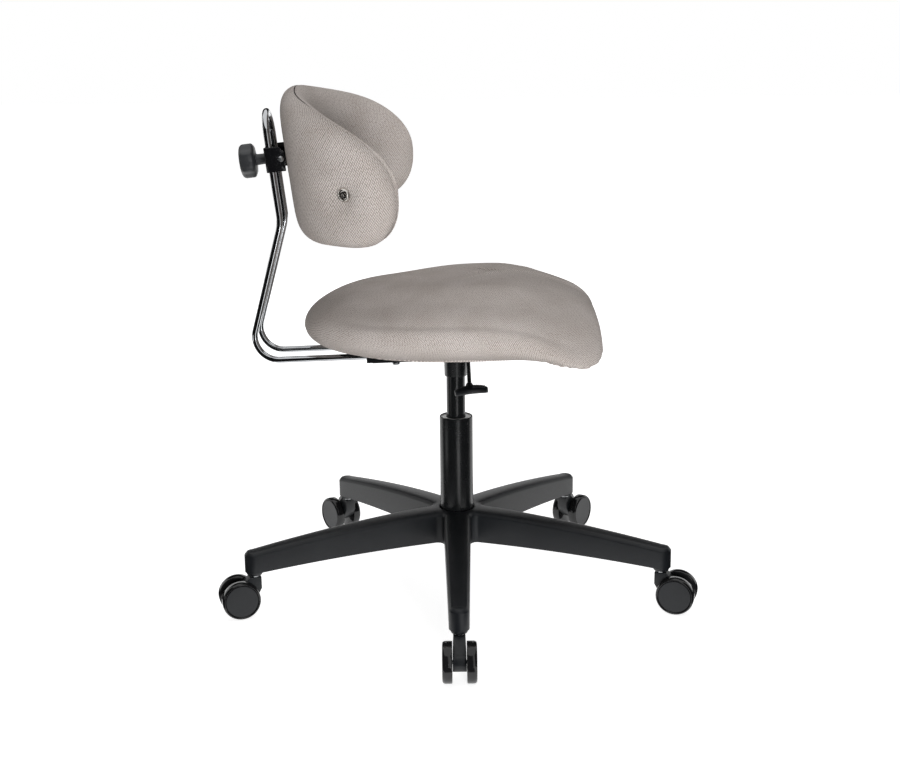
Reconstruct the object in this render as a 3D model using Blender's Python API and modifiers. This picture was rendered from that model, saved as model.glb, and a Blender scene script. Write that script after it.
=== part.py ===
"""Swivel task chair: saddle seat, gas lift, five-star base and a wrap-round backrest on a bent bar.

Metres, +Z up. The seat faces +X, the floor is at z = 0 and the origin is the middle of the footprint.
"""
import math

import bmesh
import bpy
from mathutils import Matrix, Vector

OBJECT_NAME = "swivel_task_chair"

# Clearance between pieces that touch, slide or turn on each other
GAP = 0.0003

# Casters
WHEEL_RADIUS = 0.0283
WHEEL_WIDTH = 0.0135
WHEEL_SIDES = 20
WHEEL_FACE_RADIUS = 0.0240
WHEEL_FACE_DEPTH = 0.0008
WHEEL_SHOULDER = 0.0035
WHEEL_HUB_DEPTH = 0.0078
CASTER_TRAIL = 0.024
FORK_WIDTH = 0.0187
FORK_NECK_WIDTH = 0.0162
FORK_NECK_LENGTH = 0.0170
FORK_BARREL_RADIUS = 0.0128
FORK_RISE = 0.0019
AXLE_RADIUS = 0.003
STEM_RADIUS = 0.005
STEM_FLANGE_RADIUS = 0.0078
STEM_FLANGE_HEIGHT = 0.0022
STEM_DEPTH_IN_FORK = 0.012
STEM_DEPTH_IN_LEG = 0.032

# Five-star base
LEG_COUNT = 5
BASE_TURN = 0.0
CASTER_CIRCLE = 0.316
LEG_TIP_WIDTH = 0.028
LEG_ROOT_WIDTH = 0.040
LEG_TIP_HEIGHT = 0.031
LEG_ROOT_HEIGHT = 0.0476
LEG_RISE = 0.0166
LEG_TOP_BOW = 1.6
LEG_BOTTOM_BOW = 2.0
LEG_EDGE = 0.0045
LEG_CROWN = 0.0012
LEG_WALL = 0.0035
LEG_RIB = 0.004
LEG_CELLS = 3
BOSS_RADIUS = 0.0125
BOSS_DROP = 0.0046
HUB_FILLET = 0.010
HUB_MOUTH = 0.0024
HUB_DROP = 0.002

# Gas lift
TUBE_RADIUS = 0.025
TUBE_WALL = 0.002
TUBE_LENGTH = 0.1934
TUBE_TAPER = 0.001
TUBE_FLOOR = 0.004
TUBE_RIM = 0.0014
BUSH_LENGTH = 0.046
BUSH_SETBACK = 0.0012
BEARING_RADIUS = 0.014
BEARING_HEIGHT = 0.007
ROD_RADIUS = 0.005
ROD_STUB_RADIUS = 0.004
ROD_HEAD_HEIGHT = 0.012
ROD_LENGTH = 0.1676
CLIP_RADIUS = 0.009
CLIP_HEIGHT = 0.0014
CLIP_SLOT = 0.005
PISTON_RADIUS = 0.014
PISTON_LENGTH = 0.202
PISTON_NECK = 0.012
PISTON_CHAMBER_RADIUS = 0.0108
PISTON_CHAMBER_LENGTH = 0.146
PISTON_TAPER = 0.0008
PISTON_SHOWING = 0.0629
RELEASE_PIN_RADIUS = 0.003
RELEASE_PIN_LENGTH = 0.036
RELEASE_PIN_SHOWING = 0.005

# Seat plate and its socket
SOCKET_RADIUS = 0.0168
SOCKET_FLARE = 0.0012
SOCKET_LENGTH = 0.0530
PLATE_THICKNESS = 0.003
PLATE_FRONT = 0.085
PLATE_REAR = 0.128
SEAT_TILT = math.radians(1.7)
PLATE_WIDTH = 0.170
PLATE_FLANGE = 0.010
EAR_THICKNESS = 0.0025
SEAT_SCREW_X = (-0.050, 0.060)
SEAT_SCREW_Y = 0.060
SCREW_RADIUS = 0.003
SCREW_HEAD_RADIUS = 0.0056
SCREW_HEAD_HEIGHT = 0.0034
SCREW_BITE = 0.007

# Seat pan and cushion
PAN_THICKNESS = 0.010
PAN_EDGE_INSET = 0.044
PAN_REAR_INSET = 0.050
SEAT_FRONT = 0.206
SEAT_REAR = 0.2235
SEAT_WIDTH = 0.410
SEAT_WIDEST_X = 0.040
SEAT_FRONT_SQUARENESS = 4.2
SEAT_CORNER_REACH = 0.019
SEAT_REAR_SQUARENESS = 2.15
SEAT_RIM_ABOVE_PAN = 0.034
SEAT_UNDERSIDE_ABOVE_PAN = 0.003
SEAT_CROWN = 0.056
SEAT_CROWN_LOSS_FRONT = 0.008
SEAT_FRONT_LIFT = 0.004
SEAT_CORNER_DROOP = 0.062
SEAT_CORNER_UNDERSIDE_DROOP = 0.013
SEAT_SEGMENTS = 48
SEAT_TOP_RINGS = 10

# Back bar
BAR_RADIUS = 0.0047
BAR_SPACING = 0.070
BAR_DROP = 0.0144
BAR_FRONT_X = -0.050
BAR_INCLINE = math.radians(17.0)
BAR_LEAN = math.radians(4.87)
BAR_KNEE_X = -0.244
BAR_KNEE_RISE = 0.1997
BAR_UPPER_LENGTH = 0.1236
BAR_LOW_BEND = 0.035
BAR_KNEE_BEND = 0.060
BAR_CLAMP_X = (-0.122, -0.062)
BAR_CLAMP_WALL = 0.0025
BAR_CLAMP_SCREW_X = -0.088

# Height lever
LEVER_X = 0.018
LEVER_PIVOT_Y = -0.030
LEVER_RADIUS = 0.003
LEVER_REACH = 0.105
LEVER_ELBOW = 0.010
LEVER_FALL = 0.029
LEVER_SIDE = 0.001
LEVER_BARREL_RADIUS = 0.0048
LEVER_BARREL_WIDTH = 0.008
LEVER_PIN_RADIUS = 0.002
PADDLE_WIDTH = 0.047
PADDLE_DEPTH = 0.028
PADDLE_THICKNESS = 0.0112
PADDLE_DROP = 0.0012
PADDLE_GRIP = 0.010
PADDLE_SIDE = 0.002
PADDLE_SAG = 0.0030
PADDLE_LEAN = math.radians(-6.0)

# Backrest slider
SLIDER_ALONG_BAR = 0.0923
CHANNEL_HEIGHT = 0.035
CHANNEL_SHEET = 0.0025
CHANNEL_SIDE_ROOM = 0.0025
CHANNEL_FRONT = 0.0208
CHANNEL_CORNER = 0.007
CHANNEL_BEND = 0.005
JAW_HEIGHT = 0.024
JAW_FRONT = 0.0082
STUD_RADIUS = 0.004
STUD_BITE = 0.0105
KNOB_RADIUS = 0.0250
KNOB_LOBE = 0.0011
KNOB_LOBES = 7
KNOB_NECK_RADIUS = 0.008
KNOB_NECK_LENGTH = 0.0168
KNOB_THICKNESS = 0.0230
KNOB_STUD_DEPTH = 0.028
PIVOT_X = 0.0158
PIVOT_RADIUS = 0.0035
PIVOT_HEAD_RADIUS = 0.0043
PIVOT_HEAD_HEIGHT = 0.0026

# Tilt bracket and turn bolt
BRACKET_WIDTH = 0.060
BRACKET_BARREL_RADIUS = 0.0066
BRACKET_DISC_RADIUS = 0.028
BRACKET_DISC_THICKNESS = 0.003
BRACKET_ARM_Y = (0.016, 0.022)
BRACKET_ARM_HEIGHT = 0.012
TURN_BOLT_RADIUS = 0.004
TURN_BOLT_HEAD_RADIUS = 0.0075
TURN_BOLT_HEAD_HEIGHT = 0.004
TILT_AT_REST = math.radians(0.93)
DISC_TWIST = math.radians(-3.5)
TURN_AT_REST = math.radians(7.0)

# Backrest
SHELL_RADIUS = 0.1575
SHELL_STANDOFF = 0.0344
SHELL_THICKNESS = 0.006
SHELL_INSET = 0.034
SHELL_SHARES = (0.35, 0.7, 1.0)
SHELL_BOSS_RADIUS = 0.022
SHELL_BOSS_HEIGHT = 0.002
PAD_HALF_ARC = 0.228
PAD_TOP = 0.097
PAD_LOW = -0.117
PAD_TIP = -0.040
PAD_MIDDLE = -0.010
PAD_SHOULDER = 0.87
PAD_SHOULDER_SPREAD = 0.30
PAD_LOW_NOTCH = 0.04
PAD_LOW_NOTCH_SPREAD = 0.25
PAD_FULLNESS = 8.0
PAD_LOW_SQUARENESS = 8.0
PAD_OUTER_THICKNESS = 0.029
PAD_INNER_THICKNESS = 0.022
PAD_OPENING_RADIUS = 0.034
PAD_SEGMENTS = 40
PAD_RINGS = 8
BUTTON_ANGLE = math.radians(58.5)
BUTTON_HEIGHT = -0.033
BUTTON_RADIUS = 0.0090
BUTTON_HEAD_HEIGHT = 0.0048
BUTTON_SHANK_RADIUS = 0.0025
BUTTON_SINK = 0.0015
DIMPLE_DEPTH = 0.008
DIMPLE_SPREAD = 0.020

# Heights that follow from the sizes above, from the floor up
AXLE_Z = WHEEL_RADIUS
FORK_TOP = 2.0 * WHEEL_RADIUS + FORK_RISE
BOSS_BOTTOM = FORK_TOP + STEM_FLANGE_HEIGHT + 2.0 * GAP
LEG_TIP_BOTTOM = BOSS_BOTTOM + BOSS_DROP
LEG_TIP_TOP = LEG_TIP_BOTTOM + LEG_TIP_HEIGHT
LEG_ROOT_BOTTOM = LEG_TIP_BOTTOM + LEG_RISE
LEG_ROOT_TOP = LEG_ROOT_BOTTOM + LEG_ROOT_HEIGHT
HUB_BOTTOM = LEG_ROOT_BOTTOM - HUB_DROP
TUBE_TOP = HUB_BOTTOM + TUBE_LENGTH
BEARING_BOTTOM = HUB_BOTTOM + TUBE_FLOOR + GAP
BEARING_TOP = BEARING_BOTTOM + BEARING_HEIGHT
ROD_BOTTOM = BEARING_TOP + GAP
ROD_TOP = ROD_BOTTOM + ROD_LENGTH
SOCKET_BOTTOM = TUBE_TOP + PISTON_SHOWING
PLATE_BOTTOM = SOCKET_BOTTOM + SOCKET_LENGTH
PLATE_TOP = PLATE_BOTTOM + PLATE_THICKNESS
PAN_BOTTOM = PLATE_TOP + GAP
PAN_TOP = PAN_BOTTOM + PAN_THICKNESS
SEAT_RIM = PAN_BOTTOM + SEAT_RIM_ABOVE_PAN
SEAT_UNDERSIDE = PAN_BOTTOM + SEAT_UNDERSIDE_ABOVE_PAN
LEVER_PIVOT_Z = PLATE_BOTTOM - 0.0107
PISTON_TOP = LEVER_PIVOT_Z - LEVER_RADIUS - GAP - RELEASE_PIN_SHOWING
PISTON_BOTTOM = PISTON_TOP - PISTON_LENGTH
BAR_Z = PAN_BOTTOM - BAR_DROP
BAR_KNEE_Z = BAR_Z + BAR_KNEE_RISE

# Distances that follow from the sizes above
LEG_TIP_RADIUS = LEG_TIP_WIDTH / 2.0
HUB_REACH = (LEG_ROOT_WIDTH / 2.0 + HUB_FILLET) / math.sin(math.pi / LEG_COUNT)
TUBE_INNER = TUBE_RADIUS - TUBE_WALL
BAR_CLAMP_LUG = 2.0 * SCREW_HEAD_RADIUS + 4.0 * GAP
WEB_FRONT = -(BAR_RADIUS + GAP)
WEB_REAR = WEB_FRONT - CHANNEL_SHEET
CHEEK_INNER = BAR_SPACING / 2.0 + BAR_RADIUS + CHANNEL_SIDE_ROOM
CHEEK_OUTER = CHEEK_INNER + CHANNEL_SHEET
DISC_FRONT = SHELL_STANDOFF - SHELL_THICKNESS / 2.0 - SHELL_BOSS_HEIGHT - GAP
DISC_REAR = DISC_FRONT - BRACKET_DISC_THICKNESS
PAD_AXIS_X = SHELL_STANDOFF + SHELL_RADIUS

# Finishes: colour, roughness, metallic
FINISHES = {
    "grey_fabric": ((0.376, 0.337, 0.305), 0.95, 0.0),
    "black_nylon": ((0.017, 0.018, 0.020), 0.50, 0.0),
    "gloss_black_plastic": ((0.010, 0.010, 0.011), 0.18, 0.0),
    "black_painted_steel": ((0.013, 0.013, 0.014), 0.35, 0.0),
    "chrome": ((0.60, 0.60, 0.61), 0.08, 1.0),
    "zinc_steel": ((0.52, 0.52, 0.53), 0.32, 1.0),
    "pale_bush_plastic": ((0.42, 0.42, 0.41), 0.40, 0.0),
    "plywood": ((0.42, 0.27, 0.14), 0.70, 0.0),
}


def clear_scene():
    for obj in list(bpy.data.objects):
        bpy.data.objects.remove(obj, do_unlink=True)


def new_collection(name):
    collection = bpy.data.collections.new(name)
    bpy.context.scene.collection.children.link(collection)
    return collection


clear_scene()
PARTS = new_collection(OBJECT_NAME)
CUTTERS = new_collection("cutters")


def finish_material(finish):
    material = bpy.data.materials.get(finish)
    if material is None:
        colour, roughness, metallic = FINISHES[finish]
        material = bpy.data.materials.new(finish)
        material.use_nodes = True
        shader = material.node_tree.nodes["Principled BSDF"]
        shader.inputs["Base Color"].default_value = (*colour, 1.0)
        shader.inputs["Roughness"].default_value = roughness
        shader.inputs["Metallic"].default_value = metallic
    return material


def empty(name, parent=None, location=(0.0, 0.0, 0.0), rotation=(0.0, 0.0, 0.0)):
    obj = bpy.data.objects.new(name, None)
    PARTS.objects.link(obj)
    obj.parent = parent
    obj.location = location
    obj.rotation_euler = rotation
    return obj


def smooth(mesh):
    mesh.shade_smooth()
    mesh.set_sharp_from_angle(angle=math.radians(35.0))


def mesh_from(bm, name):
    """Close a bmesh into a mesh whose faces point outwards."""
    bmesh.ops.recalc_face_normals(bm, faces=bm.faces)
    mesh = bpy.data.meshes.new(name)
    bm.to_mesh(mesh)
    bm.free()
    smooth(mesh)
    return mesh


def part(name, mesh, parent, finish, basis=None):
    obj = bpy.data.objects.new(name, mesh)
    PARTS.objects.link(obj)
    obj.parent = parent
    if basis is not None:
        obj.matrix_basis = basis
    if not mesh.materials:
        mesh.materials.append(finish_material(finish))
    return obj


def tool(name, mesh, parent, basis=None):
    """A cutter or a form to be joined: it shapes a part and is no part itself."""
    obj = bpy.data.objects.new(name, mesh)
    CUTTERS.objects.link(obj)
    obj.parent = parent
    if basis is not None:
        obj.matrix_basis = basis
    obj.hide_render = True
    obj.display_type = "WIRE"
    return obj


def combine(obj, other, operation):
    modifier = obj.modifiers.new(operation.lower(), "BOOLEAN")
    modifier.operation = operation
    modifier.solver = "EXACT"
    modifier.object = other


def evaluated_mesh(obj, name):
    bpy.context.view_layer.update()
    depsgraph = bpy.context.evaluated_depsgraph_get()
    mesh = bpy.data.meshes.new_from_object(obj.evaluated_get(depsgraph))
    mesh.name = name
    return mesh


def profile_mesh(name, points, closed):
    """Edges of a turned profile: (radius, height) points, outer side from top to bottom."""
    bm = bmesh.new()
    verts = [bm.verts.new((radius, 0.0, height)) for radius, height in points]
    for start, end in zip(verts, verts[1:]):
        bm.edges.new((start, end))
    if closed:
        bm.edges.new((verts[-1], verts[0]))
    mesh = bpy.data.meshes.new(name)
    bm.to_mesh(mesh)
    bm.free()
    return mesh


def spin(obj, sides):
    screw = obj.modifiers.new("turn", "SCREW")
    screw.axis = "Z"
    screw.angle = 2.0 * math.pi
    screw.steps = sides
    screw.render_steps = sides
    screw.use_merge_vertices = True
    screw.merge_threshold = 0.00001
    screw.use_smooth_shade = False


def turned(name, points, sides, parent, finish, closed=False, basis=None):
    obj = part(name, profile_mesh(name, points, closed), parent, finish, basis)
    spin(obj, sides)
    return obj


def turned_tool(name, points, sides, parent, closed=False, basis=None):
    obj = tool(name, profile_mesh(name, points, closed), parent, basis)
    spin(obj, sides)
    return obj


def add_cylinder(bm, radius, start, end, sides, end_radius=None):
    start = Vector(start)
    end = Vector(end)
    along = end - start
    turn = Vector((0.0, 0.0, 1.0)).rotation_difference(along).to_matrix().to_4x4()
    place = Matrix.Translation((start + end) / 2.0) @ turn
    bmesh.ops.create_cone(bm, cap_ends=True, segments=sides, radius1=radius,
                          radius2=radius if end_radius is None else end_radius,
                          depth=along.length, matrix=place)


def add_block(bm, low, high):
    low = Vector(low)
    high = Vector(high)
    place = Matrix.Translation((low + high) / 2.0) @ Matrix.Diagonal((*(high - low), 1.0))
    bmesh.ops.create_cube(bm, size=1.0, matrix=place)


def cylinder_mesh(name, radius, start, end, sides, end_radius=None):
    bm = bmesh.new()
    add_cylinder(bm, radius, start, end, sides, end_radius)
    return mesh_from(bm, name)


def block_mesh(name, low, high):
    bm = bmesh.new()
    add_block(bm, low, high)
    return mesh_from(bm, name)


def prism_mesh(name, corners, travel):
    """A flat outline pushed along a vector."""
    bm = bmesh.new()
    face = bm.faces.new([bm.verts.new(corner) for corner in corners])
    pushed = bmesh.ops.extrude_face_region(bm, geom=[face])
    moved = [item for item in pushed["geom"] if isinstance(item, bmesh.types.BMVert)]
    bmesh.ops.translate(bm, verts=moved, vec=travel)
    return mesh_from(bm, name)


def spread(ring):
    """How far a ring's points lie from their middle, summed."""
    middle = sum((Vector(point) for point in ring), Vector()) / len(ring)
    return sum((Vector(point) - middle).length for point in ring)


def add_loft(bm, rings):
    """Skin a row of closed rings and cap both ends. A ring of one point is a pole.

    Each strip is split the same way from its smaller ring to its larger one, so two skins that
    lie side by side keep their distance.
    """
    rows = [[bm.verts.new(point) for point in ring] for ring in rings]
    for at in range(len(rows) - 1):
        inner, outer = rows[at], rows[at + 1]
        if spread(rings[at]) > spread(rings[at + 1]):
            inner, outer = outer, inner
        count = len(outer)
        for index in range(count):
            ahead = (index + 1) % count
            start = inner[index % len(inner)]
            bm.faces.new((start, outer[index], outer[ahead]))
            if len(inner) > 1:
                bm.faces.new((start, outer[ahead], inner[ahead]))
    for row in (rows[0], rows[-1]):
        if len(row) > 2:
            bm.faces.new(row)


def loft_mesh(name, rings):
    bm = bmesh.new()
    add_loft(bm, rings)
    return mesh_from(bm, name)


def arc(centre, radius, start, end, steps):
    """Points of a flat arc, both ends included."""
    points = []
    for step in range(steps + 1):
        angle = start + (end - start) * step / steps
        points.append((centre[0] + radius * math.cos(angle), centre[1] + radius * math.sin(angle)))
    return points


def rounded_path(corners, radii, steps):
    """A path through corner points, with each inner corner rounded to its radius."""
    points = [corners[0]]
    for before, corner, after, radius in zip(corners, corners[1:], corners[2:], radii):
        into = (corner - before).normalized()
        out = (after - corner).normalized()
        turn = into.angle(out)
        setback = radius * math.tan(turn / 2.0)
        first = corner - into * setback
        inward = (out - into).normalized()
        centre = corner + inward * (radius / math.cos(turn / 2.0))
        axis = into.cross(out).normalized()
        for step in range(steps + 1):
            sweep = Matrix.Rotation(turn * step / steps, 3, axis)
            points.append(centre + sweep @ (first - centre))
    points.append(corners[-1])
    return points


def tube_mesh(name, points, radius, resolution):
    """A round rod along a path, made a closed mesh."""
    curve = bpy.data.curves.new(name, "CURVE")
    curve.dimensions = "3D"
    curve.bevel_depth = radius
    curve.bevel_resolution = resolution
    curve.use_fill_caps = True
    spline = curve.splines.new("POLY")
    spline.points.add(len(points) - 1)
    for slot, point in zip(spline.points, points):
        slot.co = (*point, 1.0)
    holder = bpy.data.objects.new(name, curve)
    CUTTERS.objects.link(holder)
    mesh = evaluated_mesh(holder, name)
    bpy.data.objects.remove(holder, do_unlink=True)
    bpy.data.curves.remove(curve)
    bm = bmesh.new()
    bm.from_mesh(mesh)
    bpy.data.meshes.remove(mesh)
    bmesh.ops.remove_doubles(bm, verts=bm.verts, dist=0.00001)
    return mesh_from(bm, name)


def leg_angle(index):
    return BASE_TURN - math.pi / 2.0 + index * 2.0 * math.pi / LEG_COUNT


def footprint_middle():
    """Middle of the box round the ten wheels, as seen from above."""
    lows = [0.0, 0.0]
    highs = [0.0, 0.0]
    out = CASTER_CIRCLE + CASTER_TRAIL
    half_width = FORK_WIDTH / 2.0 + GAP + WHEEL_WIDTH
    for index in range(LEG_COUNT):
        along = (math.cos(leg_angle(index)), math.sin(leg_angle(index)))
        for axis in (0, 1):
            spread = WHEEL_RADIUS * abs(along[axis]) + half_width * abs(along[1 - axis])
            lows[axis] = min(lows[axis], out * along[axis] - spread)
            highs[axis] = max(highs[axis], out * along[axis] + spread)
    return (lows[0] + highs[0]) / 2.0, (lows[1] + highs[1]) / 2.0


# Empties that carry the moving groups, each on its joint's axis

MIDDLE = footprint_middle()
CHAIR = empty("chair", None, (-MIDDLE[0], -MIDDLE[1], 0.0))
SWIVEL = empty("seat_swivel_axis", CHAIR)
LIFT = empty("seat_lift_axis", SWIVEL)
LEVER = empty("lever_axis", LIFT, (LEVER_X, LEVER_PIVOT_Y, LEVER_PIVOT_Z))
SEAT = empty("seat_tilt", LIFT,
             (PLATE_TOP * math.sin(SEAT_TILT), 0.0, PLATE_TOP * (1.0 - math.cos(SEAT_TILT))),
             (0.0, -SEAT_TILT, 0.0))
SLIDER = empty("backrest_slider_axis", SEAT,
               (BAR_KNEE_X - SLIDER_ALONG_BAR * math.sin(BAR_LEAN), 0.0,
                BAR_KNEE_Z + SLIDER_ALONG_BAR * math.cos(BAR_LEAN)), (0.0, -BAR_LEAN, 0.0))
KNOB = empty("knob_axis", SLIDER)
TILT = empty("backrest_tilt_axis", SLIDER, (PIVOT_X, 0.0, 0.0), (0.0, -TILT_AT_REST, 0.0))
DISC = empty("bracket_disc", TILT, (0.0, 0.0, 0.0), (0.0, 0.0, DISC_TWIST))
BACKREST = empty("backrest_turn_axis", DISC, (0.0, 0.0, 0.0), (TURN_AT_REST, 0.0, 0.0))


# Casters

def fork_outline():
    """Side view of the fork: barrel round the axle, neck up to the stem. x runs outwards."""
    axle = (CASTER_TRAIL, AXLE_Z)
    half_neck = FORK_NECK_LENGTH / 2.0
    points = [(-half_neck, FORK_TOP - 0.001), (-half_neck + 0.001, FORK_TOP)]
    points += [(half_neck - 0.001, FORK_TOP), (half_neck, FORK_TOP - 0.001)]
    points += arc(axle, FORK_BARREL_RADIUS, math.radians(75.0), math.radians(-130.0), 9)
    points.append((-half_neck * 0.2, AXLE_Z + 0.001))
    points.append((-half_neck, AXLE_Z + FORK_BARREL_RADIUS))
    return points


def fork_mesh():
    half = FORK_WIDTH / 2.0
    corners = [(x, -half, z) for x, z in fork_outline()]
    mesh = prism_mesh("fork_form", corners, (0.0, FORK_WIDTH, 0.0))
    neck_share = FORK_NECK_WIDTH / FORK_WIDTH
    for vert in mesh.vertices:
        height = min(max((vert.co.z - AXLE_Z) / (FORK_TOP - AXLE_Z), 0.0), 1.0)
        vert.co.y *= 1.0 + (neck_share - 1.0) * height
    form = tool("fork_form", mesh, None)
    bores = bmesh.new()
    add_cylinder(bores, AXLE_RADIUS + GAP, (CASTER_TRAIL, -FORK_WIDTH, AXLE_Z),
                 (CASTER_TRAIL, FORK_WIDTH, AXLE_Z), 10)
    add_cylinder(bores, STEM_RADIUS + GAP, (0.0, 0.0, FORK_TOP - STEM_DEPTH_IN_FORK - GAP),
                 (0.0, 0.0, FORK_TOP + STEM_FLANGE_HEIGHT), 10)
    combine(form, tool("fork_bores", mesh_from(bores, "fork_bores"), None), "DIFFERENCE")
    mesh = evaluated_mesh(form, "caster_fork")
    smooth(mesh)
    return mesh


def wheel_profile():
    """Half section of a wheel on its own axis, outer face upwards."""
    rim = WHEEL_RADIUS / math.cos(math.pi / WHEEL_SIDES)
    bore = AXLE_RADIUS + GAP
    face = WHEEL_WIDTH - WHEEL_FACE_DEPTH
    return [
        (0.0, face),
        (WHEEL_FACE_RADIUS - WHEEL_FACE_DEPTH, face),
        (WHEEL_FACE_RADIUS, WHEEL_WIDTH),
        (rim - 0.55 * WHEEL_SHOULDER, WHEEL_WIDTH - 0.2 * WHEEL_SHOULDER),
        (rim, WHEEL_WIDTH - WHEEL_SHOULDER),
        (rim, 0.0007),
        (rim - 0.0007, 0.0),
        (bore, 0.0),
        (bore, WHEEL_HUB_DEPTH),
        (0.0, WHEEL_HUB_DEPTH),
    ]


def stem_profile():
    flange = FORK_TOP + GAP
    top = BOSS_BOTTOM + STEM_DEPTH_IN_LEG
    return [
        (0.0, top),
        (STEM_RADIUS - 0.001, top),
        (STEM_RADIUS, top - 0.001),
        (STEM_RADIUS, flange + STEM_FLANGE_HEIGHT),
        (STEM_FLANGE_RADIUS, flange + STEM_FLANGE_HEIGHT),
        (STEM_FLANGE_RADIUS, flange),
        (STEM_RADIUS, flange),
        (STEM_RADIUS, FORK_TOP - STEM_DEPTH_IN_FORK),
        (0.0, FORK_TOP - STEM_DEPTH_IN_FORK),
    ]


def build_casters():
    fork = fork_mesh()
    half_axle = FORK_WIDTH / 2.0 + GAP + WHEEL_HUB_DEPTH - GAP
    axle = cylinder_mesh("caster_axle", AXLE_RADIUS, (0.0, -half_axle, 0.0), (0.0, half_axle, 0.0), 10)
    half_facet = math.pi / WHEEL_SIDES
    for index in range(LEG_COUNT):
        number = index + 1
        angle = leg_angle(index)
        place = (CASTER_CIRCLE * math.cos(angle), CASTER_CIRCLE * math.sin(angle), 0.0)
        caster = empty(f"caster_{number}_axis", CHAIR, place, (0.0, 0.0, angle))
        axle_axis = empty(f"caster_{number}_axle_axis", caster, (CASTER_TRAIL, 0.0, AXLE_Z))
        turned(f"caster_{number}_stem", stem_profile(), 10, caster, "zinc_steel")
        part(f"caster_{number}_fork", fork, caster, "black_nylon")
        part(f"caster_{number}_axle", axle, axle_axis, "zinc_steel")
        for side, sign in (("left", 1.0), ("right", -1.0)):
            shift = Matrix.Translation((0.0, sign * (FORK_WIDTH / 2.0 + GAP), 0.0))
            turn = Matrix.Rotation(-sign * math.pi / 2.0, 4, "X") @ Matrix.Rotation(half_facet, 4, "Z")
            turned(f"caster_{number}_wheel_{side}", wheel_profile(), WHEEL_SIDES, axle_axis,
                   "gloss_black_plastic", basis=shift @ turn)


# Five-star base

def leg_share(reach):
    """0 at the hub, 1 at the caster."""
    return min(max(reach / CASTER_CIRCLE, 0.0), 1.0)


def leg_top(reach):
    return LEG_ROOT_TOP + (LEG_TIP_TOP - LEG_ROOT_TOP) * leg_share(reach) ** LEG_TOP_BOW


def leg_bottom(reach):
    return LEG_ROOT_BOTTOM + (LEG_TIP_BOTTOM - LEG_ROOT_BOTTOM) * leg_share(reach) ** LEG_BOTTOM_BOW


def leg_half_width(reach):
    return (LEG_ROOT_WIDTH + (LEG_TIP_WIDTH - LEG_ROOT_WIDTH) * leg_share(reach)) / 2.0


def leg_ring(reach, half, low, high):
    edge = min(LEG_EDGE, 0.6 * half)
    return [
        (reach, -half, low), (reach, half, low), (reach, half, high - edge),
        (reach, half - 0.8 * edge, high), (reach, 0.0, high + LEG_CROWN),
        (reach, -half + 0.8 * edge, high), (reach, -half, high - edge),
    ]


def leg_mesh():
    rings = []
    steps = 6
    start = 0.3 * TUBE_RADIUS
    for step in range(steps + 1):
        reach = start + (CASTER_CIRCLE - start) * step / steps
        rings.append(leg_ring(reach, leg_half_width(reach), leg_bottom(reach), leg_top(reach)))
    for angle in (30.0, 58.0, 82.0):
        out = math.sin(math.radians(angle))
        across = math.cos(math.radians(angle))
        sunk = LEG_EDGE * (1.0 - across)
        rings.append(leg_ring(CASTER_CIRCLE + LEG_TIP_RADIUS * out, LEG_TIP_RADIUS * across,
                              LEG_TIP_BOTTOM, LEG_TIP_TOP - sunk))
    return loft_mesh("leg_form", rings)


def leg_cells_mesh():
    """Hollows under a leg: cells between the hub and the caster boss, parted by ribs."""
    bm = bmesh.new()
    first = HUB_REACH
    last = CASTER_CIRCLE - BOSS_RADIUS - LEG_WALL
    length = (last - first - LEG_RIB * (LEG_CELLS - 1)) / LEG_CELLS
    for cell in range(LEG_CELLS):
        near = first + cell * (length + LEG_RIB)
        rings = []
        for reach in (near, near + length / 2.0, near + length):
            half = leg_half_width(reach) - LEG_WALL
            high = leg_top(reach) - LEG_WALL - LEG_EDGE
            low = LEG_TIP_BOTTOM - LEG_RISE
            rings.append([(reach, -half, low), (reach, half, low), (reach, half, high), (reach, -half, high)])
        add_loft(bm, rings)
    return mesh_from(bm, "leg_cells")


def hub_outline():
    """Plan of the hub: a hollow curve between each leg and the next."""
    corners = []
    half_step = math.pi / LEG_COUNT
    sweep = math.pi / 2.0 - half_step
    for index in range(LEG_COUNT):
        middle = leg_angle(index) + half_step
        centre = (HUB_REACH * math.cos(middle), HUB_REACH * math.sin(middle))
        inward = middle + math.pi
        corners += arc(centre, HUB_FILLET, inward + sweep, inward - sweep, 6)
    return corners


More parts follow.
